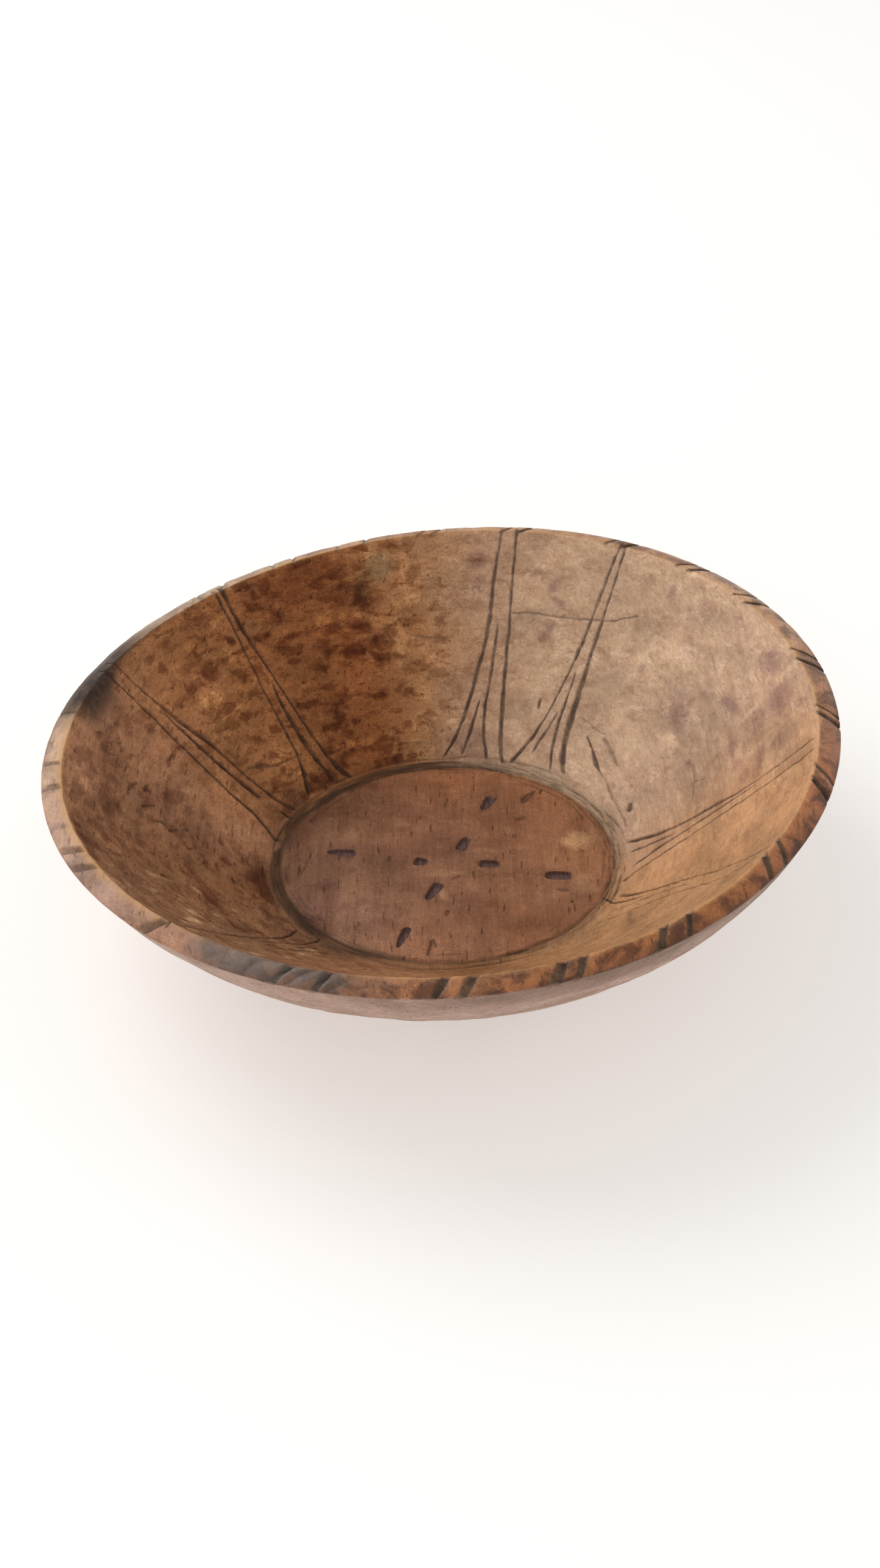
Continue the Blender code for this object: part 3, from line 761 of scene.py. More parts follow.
PALE_PATCHES = (
    (150, 62, 3, 5, 90), (147, 58, 2.5, 3, 60), (146, 50, 4, 3, 80), (151, 45, 5, 4, 60),
    (133, 55, 2.5, 4, 70), (137, 87.5, 3, 1, 60), (142, 87, 4, 1, 50), (145, 84, 3, 1.5, 60),
    (129, 83, 1.3, 5, 80), (127, 81, 2, 1, 80), (116, 71, 2, 2, 100), (112, 70, 1.5, 2, 80),
    (108, 69, 2, 1, 80), (104, 65, 2, 4, 80), (100.6, 60, 0.9, 16, 90), (98, 82, 1, 13, 50),
    (108, 46.5, 1.8, 1.2, 90), (105, 44.5, 2, 1.2, 90), (101.5, 45.5, 2, 1.2, 90),
    (98, 37, 3, 4, 50), (96, 30, 4, 5, 60), (122, 15, 2, 2, 100), (126, 23, 1.4, 3, 70),
    (116, 13, 3, 0.8, 80), (103, 16, 4, 0.6, 80), (109, 13, 2, 0.6, 80), (123, 95, 1, 2, 60),
    (104, 95, 3, 3, 70), (115, 96.5, 3, 2, 40), (135, 83, 1, 2, 60), (129, 20, 1.2, 6, 30),
    (46, 63, 2, 9, 80), (47, 47, 1.5, 10, 50), (41, 68, 4, 5, 70), (36, 66, 3, 2, 60),
    (28, 37, 3, 4, 80), (30, 31, 1.5, 4, 60), (34, 22, 2, 3, 60), (15.5, 90, 1, 10, 90),
    (15.5, 70, 0.8, 12, 70), (14, 55, 1, 5, 60), (10, 60, 1.5, 4, 50), (6, 70, 1, 6, 70),
    (5.5, 80, 0.7, 5, 50), (31, 83, 1.5, 5, 60), (50, 85, 1, 10, 50), (45.5, 97.5, 1.5, 1.2, 100),
    (9, 92, 1.5, 4, 50), (20, 50, 3, 2, 50), (88, 16.5, 3, 1.8, 80), (75, 93, 3, 5, 30),
    (66, 85, 2, 1, 60), (62, 86, 1.5, 1, 60), (48, 38, 2, 5, 40), (189, 86, 2.5, 5, 80),
    (211, 48, 2, 2, 80), (205, 46, 3, 2, 40), (219, 25, 2.5, 4, 50), (201, 47, 2, 2, 40),
    (213, 28, 1.5, 2, 60), (200, 2, 2, 1, 80), (209, 2, 2, 1, 60), (193, 96.5, 8, 3, 50),
    (218, 96, 5, 2, 70), (235, 85, 3, 10, 50), (172, 40, 6, 10, 40), (167, 30, 4, 15, 30),
    (188, 50, 1.2, 1.5, 60), (197, 80, 1, 3, 50), (342, 53, 3, 1.5, 30), (316, 50, 1, 6, 40),
    (314, 70, 1, 5, 40), (349, 37, 4, 3, 25), (358, 90, 1, 6, 40), (332, 93, 3, 3, 25),
)
# Painted highlights: small light flecks on the darkest stretch of the wall
GLINT_FLECKS = (
    (226, 75, 1.2, 5, 90), (223, 69, 1.5, 4, 100), (219, 60, 1.3, 3, 90), (207, 64, 0.9, 5, 80),
    (207, 56, 0.8, 2, 70), (217, 45, 1.3, 4, 60), (208, 41, 1, 1.5, 70), (232, 15, 1.5, 5, 70),
    (234, 27, 1.5, 3, 60), (189, 86, 2.5, 6, 30), (229, 85, 1.5, 3, 80), (214, 72, 1, 3, 60),
    (231, 60, 1.2, 5, 70), (238, 70, 1.5, 4, 70), (216, 88, 2, 2, 60), (225, 52, 0.8, 4, 60),
    (238, 45, 1, 5, 50), (201, 85, 1, 3, 50),
)
BRUISES = (
    (84.5, 87, 1.6, 5, 80), (73, 82.5, 2, 2.2, 100), (68.7, 78.5, 1.5, 2.5, 100),
    (89, 74, 1.5, 3, 60), (67.5, 71, 1.7, 2.2, 90), (84, 77, 1.3, 2, 90), (69, 57, 1.6, 2.5, 90),
    (67.5, 61, 1.8, 2, 90), (45.5, 55, 1.4, 2, 100), (48, 88, 1.5, 3, 70), (53, 88, 2, 2, 40),
    (57, 91, 1, 3, 50), (50, 56, 2, 10, 35), (40, 85, 4, 6, 50), (38, 72, 4, 5, 45),
    (30, 48, 3.5, 6, 90), (33, 55, 4, 4, 50), (28, 61, 1.5, 1.2, 70), (21, 66, 3.5, 2, 100),
    (20, 90, 3, 5, 80), (22, 86, 3, 3, 60), (12, 85, 4, 6, 80), (13, 92, 2, 3, 50),
    (12, 72, 3, 6, 60), (11, 58, 3, 1.5, 100), (2, 69, 4, 2, 100), (1, 60, 2.5, 1.5, 80),
    (5, 57, 3, 3, 60), (2, 80, 3, 5, 60), (40, 43, 5, 3, 40), (55, 30, 3, 6, 40),
    (83, 9, 7, 8, 50), (60, 12, 6, 5, 40), (72, 10, 5, 6, 35), (16, 38.5, 1.5, 2, 90),
    (72, 26.5, 2, 1.5, 40), (6, 93, 1.5, 4, 70), (204, 92, 4, 4, 80), (244, 80, 4, 20, 60),
    (163, 55, 3, 8, 40), (180, 54, 6, 8, 40), (353, 82, 1, 6, 40), (359, 66, 3, 5, 60),
    (345, 87, 4, 3, 40), (323, 77, 3, 4, 40), (147, 72, 5, 5, 40), (150, 3, 6, 4, 50),
    (133, 10, 3, 10, 50),
)
SMEARS = (
    (103, 88, 3.5, 9, 90), (107, 80, 2, 8, 80), (101, 76, 1.5, 8, 40), (132, 78, 3, 4, 50),
    (117, 55, 1, 2, 60), (50, 17, 1.2, 12, 30),
)
# Patches of tone on the floor: (x, y, reach in x, reach in y, strength in hundredths)
FLOOR_DARK = (
    (22, 14, 7, 6, 45), (-18, -20, 10, 7, 40), (15, -30, 12, 5, 45), (6, 34, 8, 6, 40),
    (-5, 4, 12, 4, 40), (32, -45, 12, 8, 40), (-68, 18, 7, 26, 70), (-60, -48, 10, 9, 70),
    (-48, -7, 7, 4, 30), (-55, 40, 12, 8, 60), (-38, 55, 12, 5, 70), (30, 22, 6, 5, 25),
    (-10, -48, 14, 5, 20), (8, 15, 4, 3, 30), (48, 8, 7, 6, 25), (38, 47, 4, 5, 50),
)
# Pale scuffs on the floor; the one at (14, 6) is a painted highlight below a cut.
FLOOR_PALE_AND_HIGHLIGHT = (
    (59, 14, 6, 9, 100), (66, 16, 4, 8, 50), (-47, 15, 4, 9, 40), (28, 22, 7, 3, 50),
    (14, 6, 7, 2.5, 50), (-2, -10, 12, 3, 40), (2, 51, 5, 4, 50), (-25, 28, 10, 4, 40),
    (52, -24, 7, 4, 45), (-3, -25, 3, 5, 60), (62, -18, 6, 8, 55), (-38, 52, 5, 3, 60),
    (44, 17, 9, 3, 25), (0, 64, 30, 5, 30), (-60, -22, 9, 12, 30),
)
FLOOR_BRUISES = (
    (-58, -28, 12, 16, 90), (-36, -42, 18, 14, 60), (-30, 0, 20, 14, 40), (4, -38, 16, 8, 30),
    (0, 8, 20, 10, 40), (30, -12, 14, 6, 25), (-20, 35, 20, 9, 30), (-50, 5, 10, 8, 40),
)


def tints_and_painted_light(surface):
    """The wood's own colour at each point, before stains and patches, and painted light and shade.
    """
    bend = surface.degrees + 4 * noise(surface.places, 25, 61)
    wall, rim, outside = (around(tones, bend) for tones in (WALL_TONES, RIM_TONES, OUTSIDE_TONES))
    floor, total = 0, 0
    for x, y, colour in FLOOR_TONES:
        away = np.hypot(surface.places[..., 0] - x, surface.places[..., 1] - y)
        weight = (away + 12)[..., None] ** -3
        floor, total = floor + weight * np.array(colour), total + weight
    out_part = surface.past(surface.profile.edge, 0.8, 1.0)
    rim_part = surface.past(surface.profile.lip, 0.5, 0.2) * (1 - out_part)
    wall_part = 1 - surface.on_floor - out_part - rim_part
    # Painted light and shade on the rim: lighter by the lip, darker towards its rounded outer edge.
    edge_shading = around(EDGE_SHADE, surface.degrees)
    edge_share = np.clip(surface.across / surface.rim_length, 0, 1)
    rim = rim * (1 + edge_shading * (0.12 - 0.26 * edge_share))[..., None]
    # Painted shade on the outside just under the rim, giving way lower down to a slightly lighter
    # wall.
    shade_under_rim = 1 - (1 - np.array(UNDER_RIM_SHADE)) * edge_shading[..., None]
    lower = smooth(0, 34, surface.beyond + 6 * noise(surface.places, 30, 62))[..., None]
    outside = outside * (shade_under_rim * (1 - lower) + 1.05 * lower)
    # Painted shade: the wall darkens by a tenth towards its foot, by the crease.
    wall_part = wall_part * (1 - 0.1 * (1 - smooth(0.0, 0.16, surface.height)))
    return (wall * wall_part[..., None] + floor / total * surface.on_floor[..., None]
            + rim * rim_part[..., None] + outside * out_part[..., None])


def patched(surface, seed, wall_patches=(), floor_patches=()):
    """A mask of listed patches with soft, wandering edges."""
    total = np.zeros_like(surface.lift)
    wander_x, wander_y = (2.2 * noise(surface.places, 6, first)
                          + 1.0 * noise(surface.places, 2.5, first + 1)
                          for first in (seed, seed + 2))
    tall = surface.profile.lip - surface.profile.foot
    for angle, height, reach, rise, strength in wall_patches:
        height, rise = height / 100, rise / 100
        spot = Spot(surface, surface.s_at(height - 2 * rise) - 6,
                    surface.s_at(height + 2 * rise) + 6, angle, 2 * reach + 4)
        u = np.radians(spot.turn) * spot.radius + wander_x[spot.block]
        v = spot.s - surface.s_at(height) + wander_y[spot.block]
        far = np.hypot(u / (math.radians(reach) * spot.radius), v / (rise * tall + 0.5))
        patch = strength / 100 * (1 - smooth(0.35, 1.45, far))
        total[spot.block] = np.maximum(total[spot.block], patch)
    total *= surface.on_wall
    rows = np.nonzero(surface.s[:, 0] < surface.profile.foot)[0]
    for x, y, reach_x, reach_y, strength in floor_patches:
        u = (surface.places[rows][..., 0] - x + wander_x[rows]) / reach_x
        v = (surface.places[rows][..., 1] - y + wander_y[rows]) / reach_y
        patch = strength / 100 * (1 - smooth(0.35, 1.5, np.hypot(u, v)))
        total[rows] = np.maximum(total[rows], patch)
    return total


def painted_crease_shade(surface):
    """Painted shade along the crease on the left, feathering out over the floor and the wall."""
    ring = surface.ring()
    wander = 3 * noise(ring, 4, 91, (4, 4, 1)) + 3 * noise(surface.places, 12, 92)
    out = surface.s - surface.profile.floor_end - 1.5
    sideways, up = SHADE_CLIMB
    climb = bell(out - 3 + wander, up) * bell(surface.turn_from(SHADE_CLIMB_ANGLE), sideways)
    reach = np.maximum(bell(out + 0.7 * wander, CREASE_SHADE_WIDTH), 0.75 * climb)
    torn = smooth(-1.0, 0.2, noise(ring, 1.6, 93, (8, 8, 1)) + 0.6 * noise(surface.places, 7, 94))
    side = smooth(-0.35, 0.45, np.cos(np.radians(surface.turn_from(CREASE_SHADE_ANGLE))))
    return reach * torn * side


def charred(surface):
    """Where fire blackened the lip, fading slowly to one side and down the wall."""
    turn = surface.turn_from(CHAR_ANGLE) + 1.5 * noise(surface.places, 9, 96)
    sideways = turn / np.where(turn > 0, CHAR_REACH[1], CHAR_REACH[0])
    down = np.minimum(surface.height - 1.0, 0) / (0.02 + 0.12 * smooth(-11, -2, turn))
    char = np.exp(-(sideways ** 2 + down ** 2) ** 1.5) * (surface.beyond < 8)
    # Painted light: the char thins by a fifth over the outer half of the rim, so the rounded outer
    # edge shows lighter.
    char = char * (1 - 0.2 * smooth(0.5, 1.0, surface.across / surface.rim_length))
    return char * (1 - smooth(5.8, 7.4, turn))


def masks(surface):
    """Numbers from 0 to about 1 that steer the material's nodes."""
    def ruled(stops):
        return around(stops, surface.degrees)

    broad = ruled(LIP_BREADTH)
    wavering = surface.beyond + 0.3 + noise(surface.places, 8, 95)
    # The cuts' dark fill also carries painted shade on the rim cuts' steep sides, and the rope
    # strands carry painted highlights.
    layers = ("dirt", "nicks", "gouged", "crease", "crease_lines", "ash", "rope_highlights", "stains")
    return {name: getattr(surface, name) for name in layers} | {
        # painted shade along the crease on the left
        "crease_shade": painted_crease_shade(surface),
        "char": charred(surface),
        "worn": bell(surface.across - 0.2 - 0.6 * broad, 0.9 + 1.1 * broad) * ruled(LIP_WEAR),
        # painted shade: a dark line along the rim's rounded outer edge
        "edge_shade_line": bell(wavering, 1.1) * ruled(EDGE_SHADE),
        "rim_patching": ruled(RIM_PATCHING) * surface.on_rim,
        "plain": ruled(PLAINNESS) * surface.on_wall,
        "glossy": np.maximum(surface.on_rim, surface.on_outside),
        "staining": ruled(STAINING) * surface.on_wall + 0.3 * surface.on_floor,
        "veining": ruled(VEINING) * surface.on_wall + 0.45 * surface.on_floor,
        "dark": patched(surface, 71, DARK_PATCHES),
        "pale": patched(surface, 75, PALE_PATCHES) * ruled(PALENESS),
        "bruise": patched(surface, 79, BRUISES, FLOOR_BRUISES),
        "smear": patched(surface, 83, SMEARS),
        # painted highlights: small light flecks on the wall
        "fleck": patched(surface, 85, GLINT_FLECKS),
        "shade": patched(surface, 87, (), FLOOR_DARK),
        "sheen": patched(surface, 89, (), FLOOR_PALE_AND_HIGHLIGHT),
    }


# ---- the mesh ----------------------------------------------------------------------------------

def grid_mesh(name, places, middle_top, middle_base):
    """A closed mesh from rings of places, with a single point at each end."""
    rings, columns = places.shape[:2]
    points = np.vstack([places.reshape(-1, 3), [middle_top, middle_base]])
    ring, column = np.meshgrid(np.arange(rings - 1), np.arange(columns), indexing="ij")
    here, following = ring * columns, (column + 1) % columns
    quads = np.stack([here + column, here + columns + column, here + columns + following,
                      here + following], -1).reshape(-1)
    column, following = np.arange(columns), following[0]
    top, last = rings * columns, (rings - 1) * columns
    caps = [np.stack([np.full(columns, top), column, following], -1),
            np.stack([np.full(columns, top + 1), last + following, last + column], -1)]
    loops = np.concatenate([quads, np.vstack(caps).reshape(-1)])
    starts = np.concatenate([np.arange(0, len(quads), 4), np.arange(len(quads), len(loops), 3)])
    mesh = bpy.data.meshes.new(name)
    mesh.vertices.add(len(points))
    mesh.vertices.foreach_set("co", points.astype(np.float32).reshape(-1))
    mesh.loops.add(len(loops))
    mesh.loops.foreach_set("vertex_index", loops.astype(np.int32))
    mesh.polygons.add(len(starts))
    mesh.polygons.foreach_set("loop_start", starts.astype(np.int32))
    mesh.update(calc_edges=True)
    mesh.validate()
    return mesh


FIELDS = {"FLOAT": "value", "FLOAT_VECTOR": "vector", "FLOAT_COLOR": "color"}


def add_attribute(mesh, name, kind, values):
    """Stores one value a point; each end point takes the mean of the ring beside it."""
    rings, columns = values.shape[:2]
    values = values.reshape(rings, columns, -1)
    if kind == "FLOAT_COLOR":
        values = np.concatenate([values, np.ones((rings, columns, 1))], -1)
    flat = np.vstack([values.reshape(rings * columns, -1), values[0].mean(0), values[-1].mean(0)])
    layer = mesh.attributes.new(name, kind, "POINT")
    layer.data.foreach_set(FIELDS[kind], flat.astype(np.float32).reshape(-1))


def thinned(piece, triangles):
    """Merges faces where the surface is smooth, and keeps them small along the cuts."""
    count = len(piece.data.loops) - 2 * len(piece.data.polygons)
    if count <= triangles:
        return
    thin = piece.modifiers.new("thin", "DECIMATE")
    thin.ratio = triangles / count
    bpy.context.view_layer.update()
    seen = piece.evaluated_get(bpy.context.evaluated_depsgraph_get())
    fine, piece.data = piece.data, bpy.data.meshes.new_from_object(seen)
    piece.modifiers.clear()
    bpy.data.meshes.remove(fine)


def add_object(name, data):
    made = bpy.data.objects.new(name, data)
    bpy.context.scene.collection.objects.link(made)
    return made


def make_bowl():
    surface = Surface()
    surface.add_waves()
    surface.add_facets()
    surface.add_crease()
    surface.add_cuts()
    places = surface.finished()
    mesh = grid_mesh("carved_bowl", places, (0, 0, places[0, :, 2].mean()), (0, 0, 0))
    add_attribute(mesh, "tint", "FLOAT_COLOR", tints_and_painted_light(surface))
    for name, tones in (("stain_tone", STAIN_TONES), ("crease_tone_and_shade", CREASE_TONES_AND_SHADE)):
        tones = around(tones, surface.degrees) + 0 * surface.s[..., None]
        add_attribute(mesh, name, "FLOAT_COLOR", tones)
    add_attribute(mesh, "ring", "FLOAT_VECTOR", surface.ring() * MM)
    for name, values in masks(surface).items():
        add_attribute(mesh, name, "FLOAT", values + np.zeros_like(surface.lift))
    bowl = add_object("carved_bowl", mesh)
    thinned(bowl, TRIANGLES)
    bowl.data.shade_smooth()
    return bowl


# ---- the wood ----------------------------------------------------------------------------------

class Shader:
    """Adds nodes to a material; an input is a number, a colour or another node's output."""

    def __init__(self, name):
        self.material = bpy.data.materials.new(name)
        self.material.use_nodes = True
        self.tree = self.material.node_tree
        self.surface = self.tree.nodes["Principled BSDF"]

    def node(self, kind, inputs=(), **settings):
        made = self.tree.nodes.new(kind)
        for key, value in settings.items():
            setattr(made, key, value)
        for key, value in dict(inputs).items():
            self.feed(made.inputs[key], value)
        return made

    def feed(self, socket, value):
        if isinstance(value, bpy.types.NodeSocket):
            self.tree.links.new(value, socket)
        else:
            socket.default_value = (*value, 1) if socket.type == "RGBA" else value

    def finish(self, **values):
        """Sets the surface's inputs, with _ for a space in a name."""
        for name, value in values.items():
            self.feed(self.surface.inputs[name.replace("_", " ")], value)

    def attribute(self, name, output="Fac"):
        return self.node("ShaderNodeAttribute", attribute_name=name).outputs[output]

    def math(self, operation, a, b=0.0, clamp=False):
        return self.node("ShaderNodeMath", {0: a, 1: b}, operation=operation,
                         use_clamp=clamp).outputs[0]

    def times(self, a, b):
        return self.math("MULTIPLY", a, b)

    def plus(self, a, b):
        return self.math("ADD", a, b)

    def noise(self, vector, scale, detail=3.0, roughness=0.6, distortion=0.0):
        inputs = {"Vector": vector, "Scale": scale, "Detail": detail, "Roughness": roughness,
                  "Distortion": distortion}
        return self.node("ShaderNodeTexNoise", inputs).outputs["Fac"]

    def stretched(self, vector, scale, turn=0):
        inputs = {"Vector": vector, "Scale": scale, "Rotation": (0, 0, math.radians(turn))}
        return self.node("ShaderNodeMapping", inputs).outputs["Vector"]

    def step(self, value, start, stop, first=0.0, last=1.0):
        """A soft step from first to last as value goes from start to stop."""
        inputs = {"Value": value, "From Min": start, "From Max": stop, "To Min": first,
                  "To Max": last}
        return self.node("ShaderNodeMapRange", inputs,
                         interpolation_type="SMOOTHSTEP").outputs["Result"]

    def mix(self, share, a, b, blend="MIX"):
        made = self.node("ShaderNodeMix", {"Factor": share}, data_type="RGBA", blend_type=blend,
                         clamp_result=False)
        for key, value in (("A", a), ("B", b)):
            self.feed(next(s for s in made.inputs if s.name == key and s.type == "RGBA"), value)
        return next(s for s in made.outputs if s.type == "RGBA")


# Soft patches of tone: mask, what it multiplies the wood by, how ragged its edge is, and the
# mask's values between which it comes in
PATCH_TONES = (
    ("smear", (0.72, 0.90, 1.02), 0.7, 0.1, 0.9), ("bruise", (0.70, 0.64, 0.72), 0.5, 0.05, 0.95),
    ("shade", (0.62, 0.52, 0.50), 0.6, 0.0, 1.0), ("sheen", (1.65, 1.95, 2.0), 0.6, 0.1, 0.9),
    ("dark", (0.50, 0.38, 0.34), 0.9, 0.15, 0.85), ("pale", (1.42, 1.52, 1.5), 0.55, 0.1, 0.9),
    # fleck brightens the wall with painted highlights
    ("fleck", (1.8, 2.2, 2.4), 0.9, 0.1, 0.9),
)
FIBRE_TONE = (0.72, 0.66, 0.6)
FIBRE_LEAN = -6


class Wood(Shader):
    """The bowl's material: the wood and its stains, fibres, wear, cuts, painted light and shade,
    ash.
    """

    def __init__(self):
        super().__init__("carved_wood")
        self.masks = {}
        self.place = self.node("ShaderNodeTexCoord").outputs["Object"]
        self.squat = self.stretched(self.place, (1, 1, 2.2))
        self.along = self.stretched(self.place, (1, 0.07, 1), FIBRE_LEAN)
        self.fibre = self.noise(self.along, 700, 5, 0.65)
        self.dash = self.noise(self.stretched(self.place, (1, 0.14, 1), FIBRE_LEAN), 620, 2, 0.5)
        self.cloud = self.noise(self.squat, 30, 4, 0.6, 0.5)
        self.speck = self.noise(self.place, 420)
        self.patch = self.noise(self.place, 75, 5, 0.62, 0.6)
        self.ragged = self.math("SUBTRACT", self.noise(self.squat, 190, 5, 0.7, 0.5), 0.5)
        self.colour = self.attribute("tint", "Color")
        self.add_stains()
        self.add_patches()
        self.add_fibres()
        self.add_rim_wear_and_shade()
        self.add_dirt()
        self.add_fire()
        self.finish(Base_Color=self.colour, Roughness=self.roughness(),
                    Specular_IOR_Level=self.gloss(), Normal=self.relief())

    def mask(self, name):
        if name not in self.masks:
            self.masks[name] = self.attribute(name)
        return self.masks[name]

    def masked(self, name, pattern, start, stop, first=0.0, last=1.0):
        """A mask broken up by a pattern."""
        return self.times(self.mask(name), self.step(pattern, start, stop, first, last))

    def unless_plain(self, value, on_plain):
        """Weakens a value where the wall is plain."""
        return self.times(value, self.step(self.mask("plain"), 0, 1, 1.0, on_plain))

    def tint(self, share, tone):
        """Multiplies the colour so far by a tone, as far as share says."""
        self.colour = self.mix(share, self.colour, tone, "MULTIPLY")

    def cover(self, share, tone):
        """Covers the colour so far with a tone, as far as share says."""
        self.colour = self.mix(share, self.colour, tone)

    def add_stains(self):
        self.tint(1.0, self.step(self.cloud, 0.32, 0.68, 1.2, 0.85))
        blotch = self.noise(self.squat, 85, 5, 0.62, 0.7)
        blotch = self.plus(blotch, self.times(self.mask("stains"), 0.35))
        self.tint(self.masked("staining", blotch, 0.52, 0.70, 0.0, 0.68),
                  self.attribute("stain_tone", "Color"))
        ridge = self.math("SUBTRACT", self.noise(self.squat, 48, 5, 0.6, 1.2), 0.5)
        vein = self.step(self.math("ABSOLUTE", ridge), 0.035, 0.005)
        vein = self.times(vein, self.step(self.noise(self.place, 60), 0.45, 0.6))
        self.tint(self.times(vein, self.mask("veining")), (1.35, 1.45, 1.5))

    def add_patches(self):
        for name, tone, raggedness, start, stop in PATCH_TONES:
            share = self.plus(self.mask(name), self.times(self.ragged, raggedness))
            self.tint(self.step(share, start, stop), tone)
        fleck = self.noise(self.stretched(self.place, (0.5, 1, 1.7)), 210, 5, 0.68, 0.5)
        self.tint(self.masked("staining", fleck, 0.55, 0.66), (0.68, 0.58, 0.5))
        self.tint(self.masked("veining", fleck, 0.44, 0.34), (1.22, 1.28, 1.3))

    def add_fibres(self):
        grit = self.step(self.noise(self.place, 1500, 2, 0.7), 0.3, 0.7, 0.72, 1.28)
        self.tint(self.step(self.mask("plain"), 0, 1, 0.75, 0.4), grit)
        self.tint(self.step(self.fibre, 0.38, 0.66, 0.0, 0.5), FIBRE_TONE)
        self.tint(self.step(self.noise(self.along, 190), 0.4, 0.7, 0.0, 0.4), FIBRE_TONE)
        dashes = self.unless_plain(self.step(self.dash, 0.61, 0.72, 0.0, 0.75), 0.2)
        self.tint(dashes, (0.35, 0.28, 0.25))
        specks = self.unless_plain(self.step(self.speck, 0.45, 0.7, 0.0, 0.3), 0.4)
        self.tint(specks, (1.35, 1.3, 1.25))

    def add_rim_wear_and_shade(self):
        self.tint(self.mask("rim_patching"), self.mix(self.step(self.patch, 0.42, 0.62),
                                                      (1.5, 1.4, 1.25), (0.34, 0.24, 0.20)))
        # Painted shade: a dark line along the rim's rounded outer edge.
        self.tint(self.masked("edge_shade_line", self.patch, 0.35, 0.6, 0.25, 0.85), (0.42, 0.32, 0.28))
        self.cover(self.masked("worn", self.speck, 0.3, 0.6, 0.55, 1.0), (0.55, 0.285, 0.11))

    def add_dirt(self):
        """The torn crease and its painted shade, then what fills the cuts and their painted shade.
        """
        ring = self.attribute("ring", "Vector")
        scrape = self.noise(self.stretched(ring, (0.12, 0.12, 1)), 900, 4, 0.65)
        torn = self.mix(self.step(scrape, 0.42, 0.58), (0.5, 0.45, 0.4), (1.2, 1.2, 1.2))
        # The torn band's own colour, which painted shade makes nearly black on the left.
        torn = self.mix(1.0, self.attribute("crease_tone_and_shade", "Color"), torn, "MULTIPLY")
        self.cover(self.masked("crease", self.speck, 0.3, 0.6, 0.6, 0.95), torn)
        # Painted shade, nearly black, along the crease on the left.
        self.cover(self.masked("crease_shade", scrape, 0.35, 0.6, 0.6, 1.0), (0.05, 0.023, 0.011))
        self.cover(self.masked("crease_lines", scrape, 0.3, 0.55, 0.95, 0.55),
                   (0.045, 0.025, 0.015))
        filling = self.mix(self.mask("plain"), (0.04, 0.023, 0.017), (0.09, 0.06, 0.048))
        # Dirt in the strokes and marks, and painted shade on the steep sides of the rim's cuts.
        self.cover(self.masked("dirt", self.noise(self.place, 130), 0.35, 0.6, 0.6, 0.92), filling)
        scratched = self.mix(self.step(self.noise(self.along, 1100), 0.4, 0.65),
                             (0.14, 0.08, 0.072), (0.068, 0.038, 0.034))
        self.cover(self.times(self.mask("gouged"), 0.92), scratched)
        nicked = self.mix(self.step(self.patch, 0.35, 0.6), (0.115, 0.08, 0.055),
                          (0.055, 0.037, 0.026))
        self.cover(self.masked("nicks", self.speck, 0.3, 0.6, 0.7, 0.95), nicked)

    def add_fire(self):
        self.cover(self.masked("char", self.speck, 0.3, 0.6, 0.85, 0.98), (0.028, 0.018, 0.014))
        # Painted highlights on the tops of the rope strands, darker between them.
        ash = self.mix(self.mask("rope_highlights"), (0.04, 0.035, 0.03), (0.10, 0.088, 0.078))
        self.cover(self.masked("ash", self.cloud, 0.35, 0.6, 0.75, 0.97), ash)

    def roughness(self):
        rough = self.step(self.cloud, 0.35, 0.65, 0.42, 0.6)
        rough = self.plus(rough, self.times(self.mask("dirt"), 0.25))
        return self.math("SUBTRACT", rough, self.times(self.mask("ash"), 0.12), clamp=True)

    def gloss(self):
        """A little gloss on the rim and the outside, and none where they are burnt or cut."""
        dull = self.math("MAXIMUM", self.mask("char"), self.mask("nicks"))
        dull = self.math("MAXIMUM", dull, self.times(self.mask("ash"), 0.5))
        gloss = self.times(self.mask("glossy"), 0.35)
        gloss = self.times(gloss, self.math("SUBTRACT", 1.0, dull, clamp=True))
        return self.plus(gloss, 0.1)

    def relief(self):
        height = self.plus(self.times(self.fibre, 0.5), self.times(self.speck, 0.35))
        rough = self.times(self.ragged, self.step(self.mask("plain"), 0, 1, 1.6, 0.6))
        height = self.plus(height, rough)
        height = self.math("SUBTRACT", height, self.step(self.dash, 0.64, 0.74, 0.0, 0.6))
        return self.node("ShaderNodeBump", {"Height": height, "Strength": 0.5,
                                            "Distance": 0.25 * MM}).outputs["Normal"]


# ---- the studio --------------------------------------------------------------------------------

CAMERA_ELEVATION = 37
CAMERA_DISTANCE = 0.948
CAMERA_LENS = 49.0
CAMERA_TARGET = (-0.0034, 0.0, RIM_HEIGHT * MM - 0.0313)
STUDIO_REACH = 6
LIT_PLACE = (0, 0, 0.05)
WARM_WHITE = (1, 0.985, 0.97)


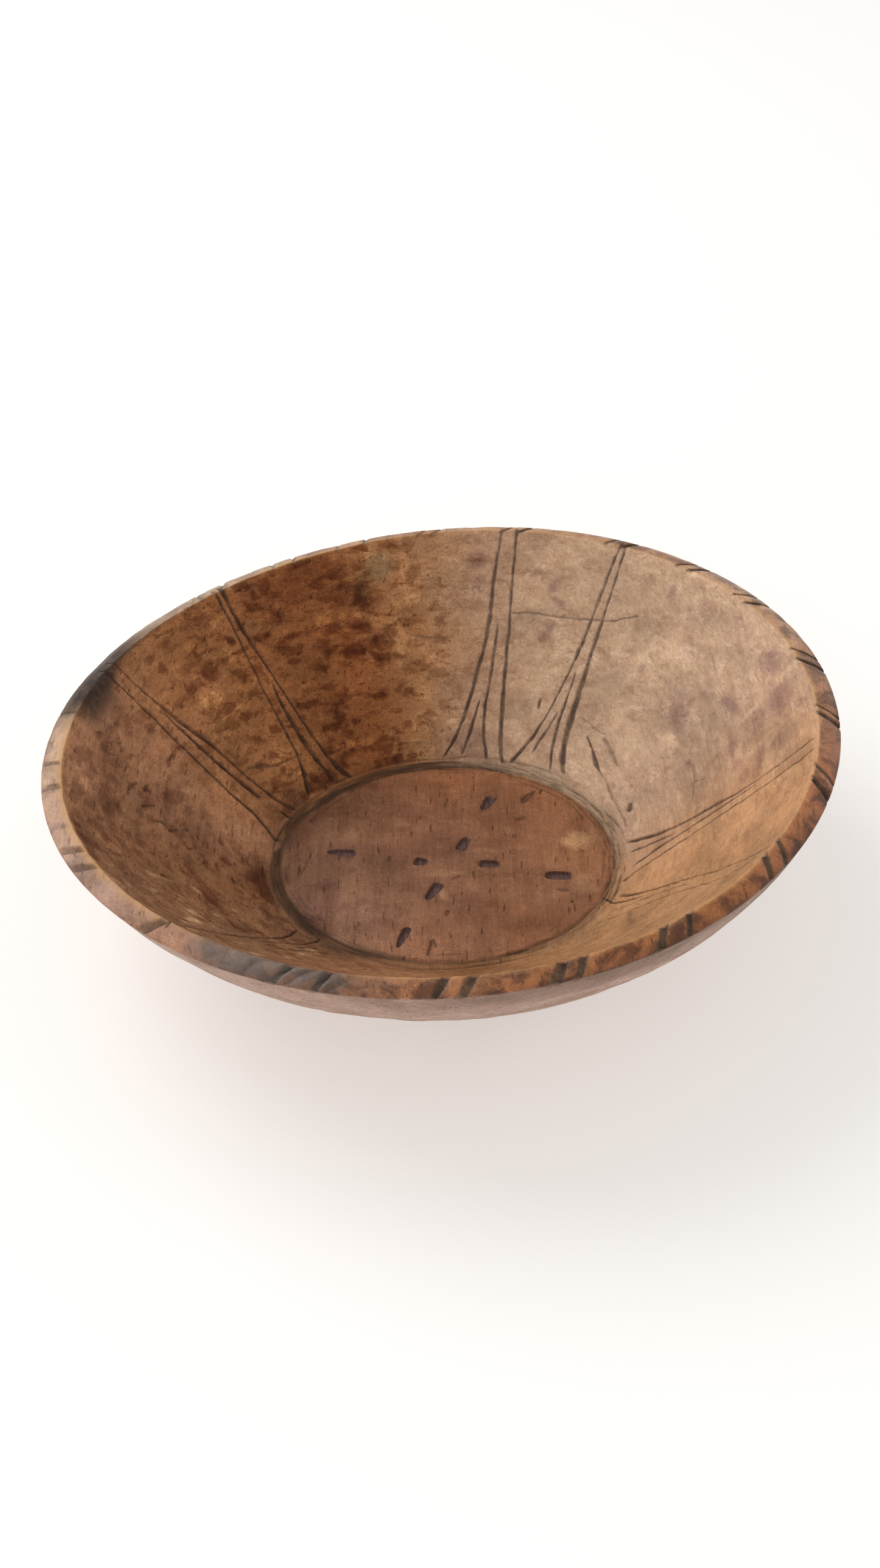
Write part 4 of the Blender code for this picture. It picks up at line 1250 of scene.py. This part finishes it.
def make_camera():
    camera = add_object("camera", bpy.data.cameras.new("camera"))
    camera.data.lens = CAMERA_LENS
    camera.data.sensor_width = 36
    tilt = math.radians(CAMERA_ELEVATION)
    x, y, z = CAMERA_TARGET
    camera.location = (x, y - CAMERA_DISTANCE * math.cos(tilt),
                       z + CAMERA_DISTANCE * math.sin(tilt))
    camera.rotation_euler = (math.radians(90) - tilt, 0, 0)
    bpy.context.scene.camera = camera


def make_light(name, place, size, energy):
    lamp = bpy.data.lights.new(name, "AREA")
    lamp.size = size
    lamp.energy = energy
    item = add_object(name, lamp)
    item.location = place
    direction = Vector(LIT_PLACE) - Vector(place)
    item.rotation_euler = direction.to_track_quat("-Z", "Y").to_euler()


def make_sky():
    """A plain white surround, brighter at the horizon than overhead."""
    world = bpy.data.worlds.new("world")
    bpy.context.scene.world = world
    world.use_nodes = True
    tree = world.node_tree
    surround = tree.nodes["Background"]
    surround.inputs["Color"].default_value = (1, 0.985, 0.965, 1)
    way = tree.nodes.new("ShaderNodeTexCoord").outputs["Generated"]
    parts = tree.nodes.new("ShaderNodeSeparateXYZ")
    tree.links.new(way, parts.inputs[0])
    fade = tree.nodes.new("ShaderNodeMapRange")
    tree.links.new(parts.outputs["Z"], fade.inputs["Value"])
    for name, value in (("From Max", 0.9), ("To Min", 1.25), ("To Max", 0.4)):
        fade.inputs[name].default_value = value
    tree.links.new(fade.outputs["Result"], surround.inputs["Strength"])


def make_studio():
    mesh = bpy.data.meshes.new("floor")
    far = STUDIO_REACH
    mesh.from_pydata([(-far, -far, 0), (far, -far, 0), (far, far, 0), (-far, far, 0)], [],
                     [(0, 1, 2, 3)])
    floor = add_object("floor", mesh)
    paper = Shader("paper")
    paper.finish(Base_Color=(0.76, 0.75, 0.735), Roughness=0.9, Emission_Color=WARM_WHITE,
                 Emission_Strength=0.33)
    mesh.materials.append(paper.material)
    make_sky()
    make_light("key", (-1.25, 0.8, 1.65), 1.6, 20)
    make_light("fill", (0.2, -2.2, 0.9), 1.5, 13)
    bpy.context.scene.view_settings.view_transform = "Standard"


make_camera()
make_studio()
bowl = make_bowl()
bowl.data.materials.append(Wood().material)
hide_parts("bowl")
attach(bowl, "root")
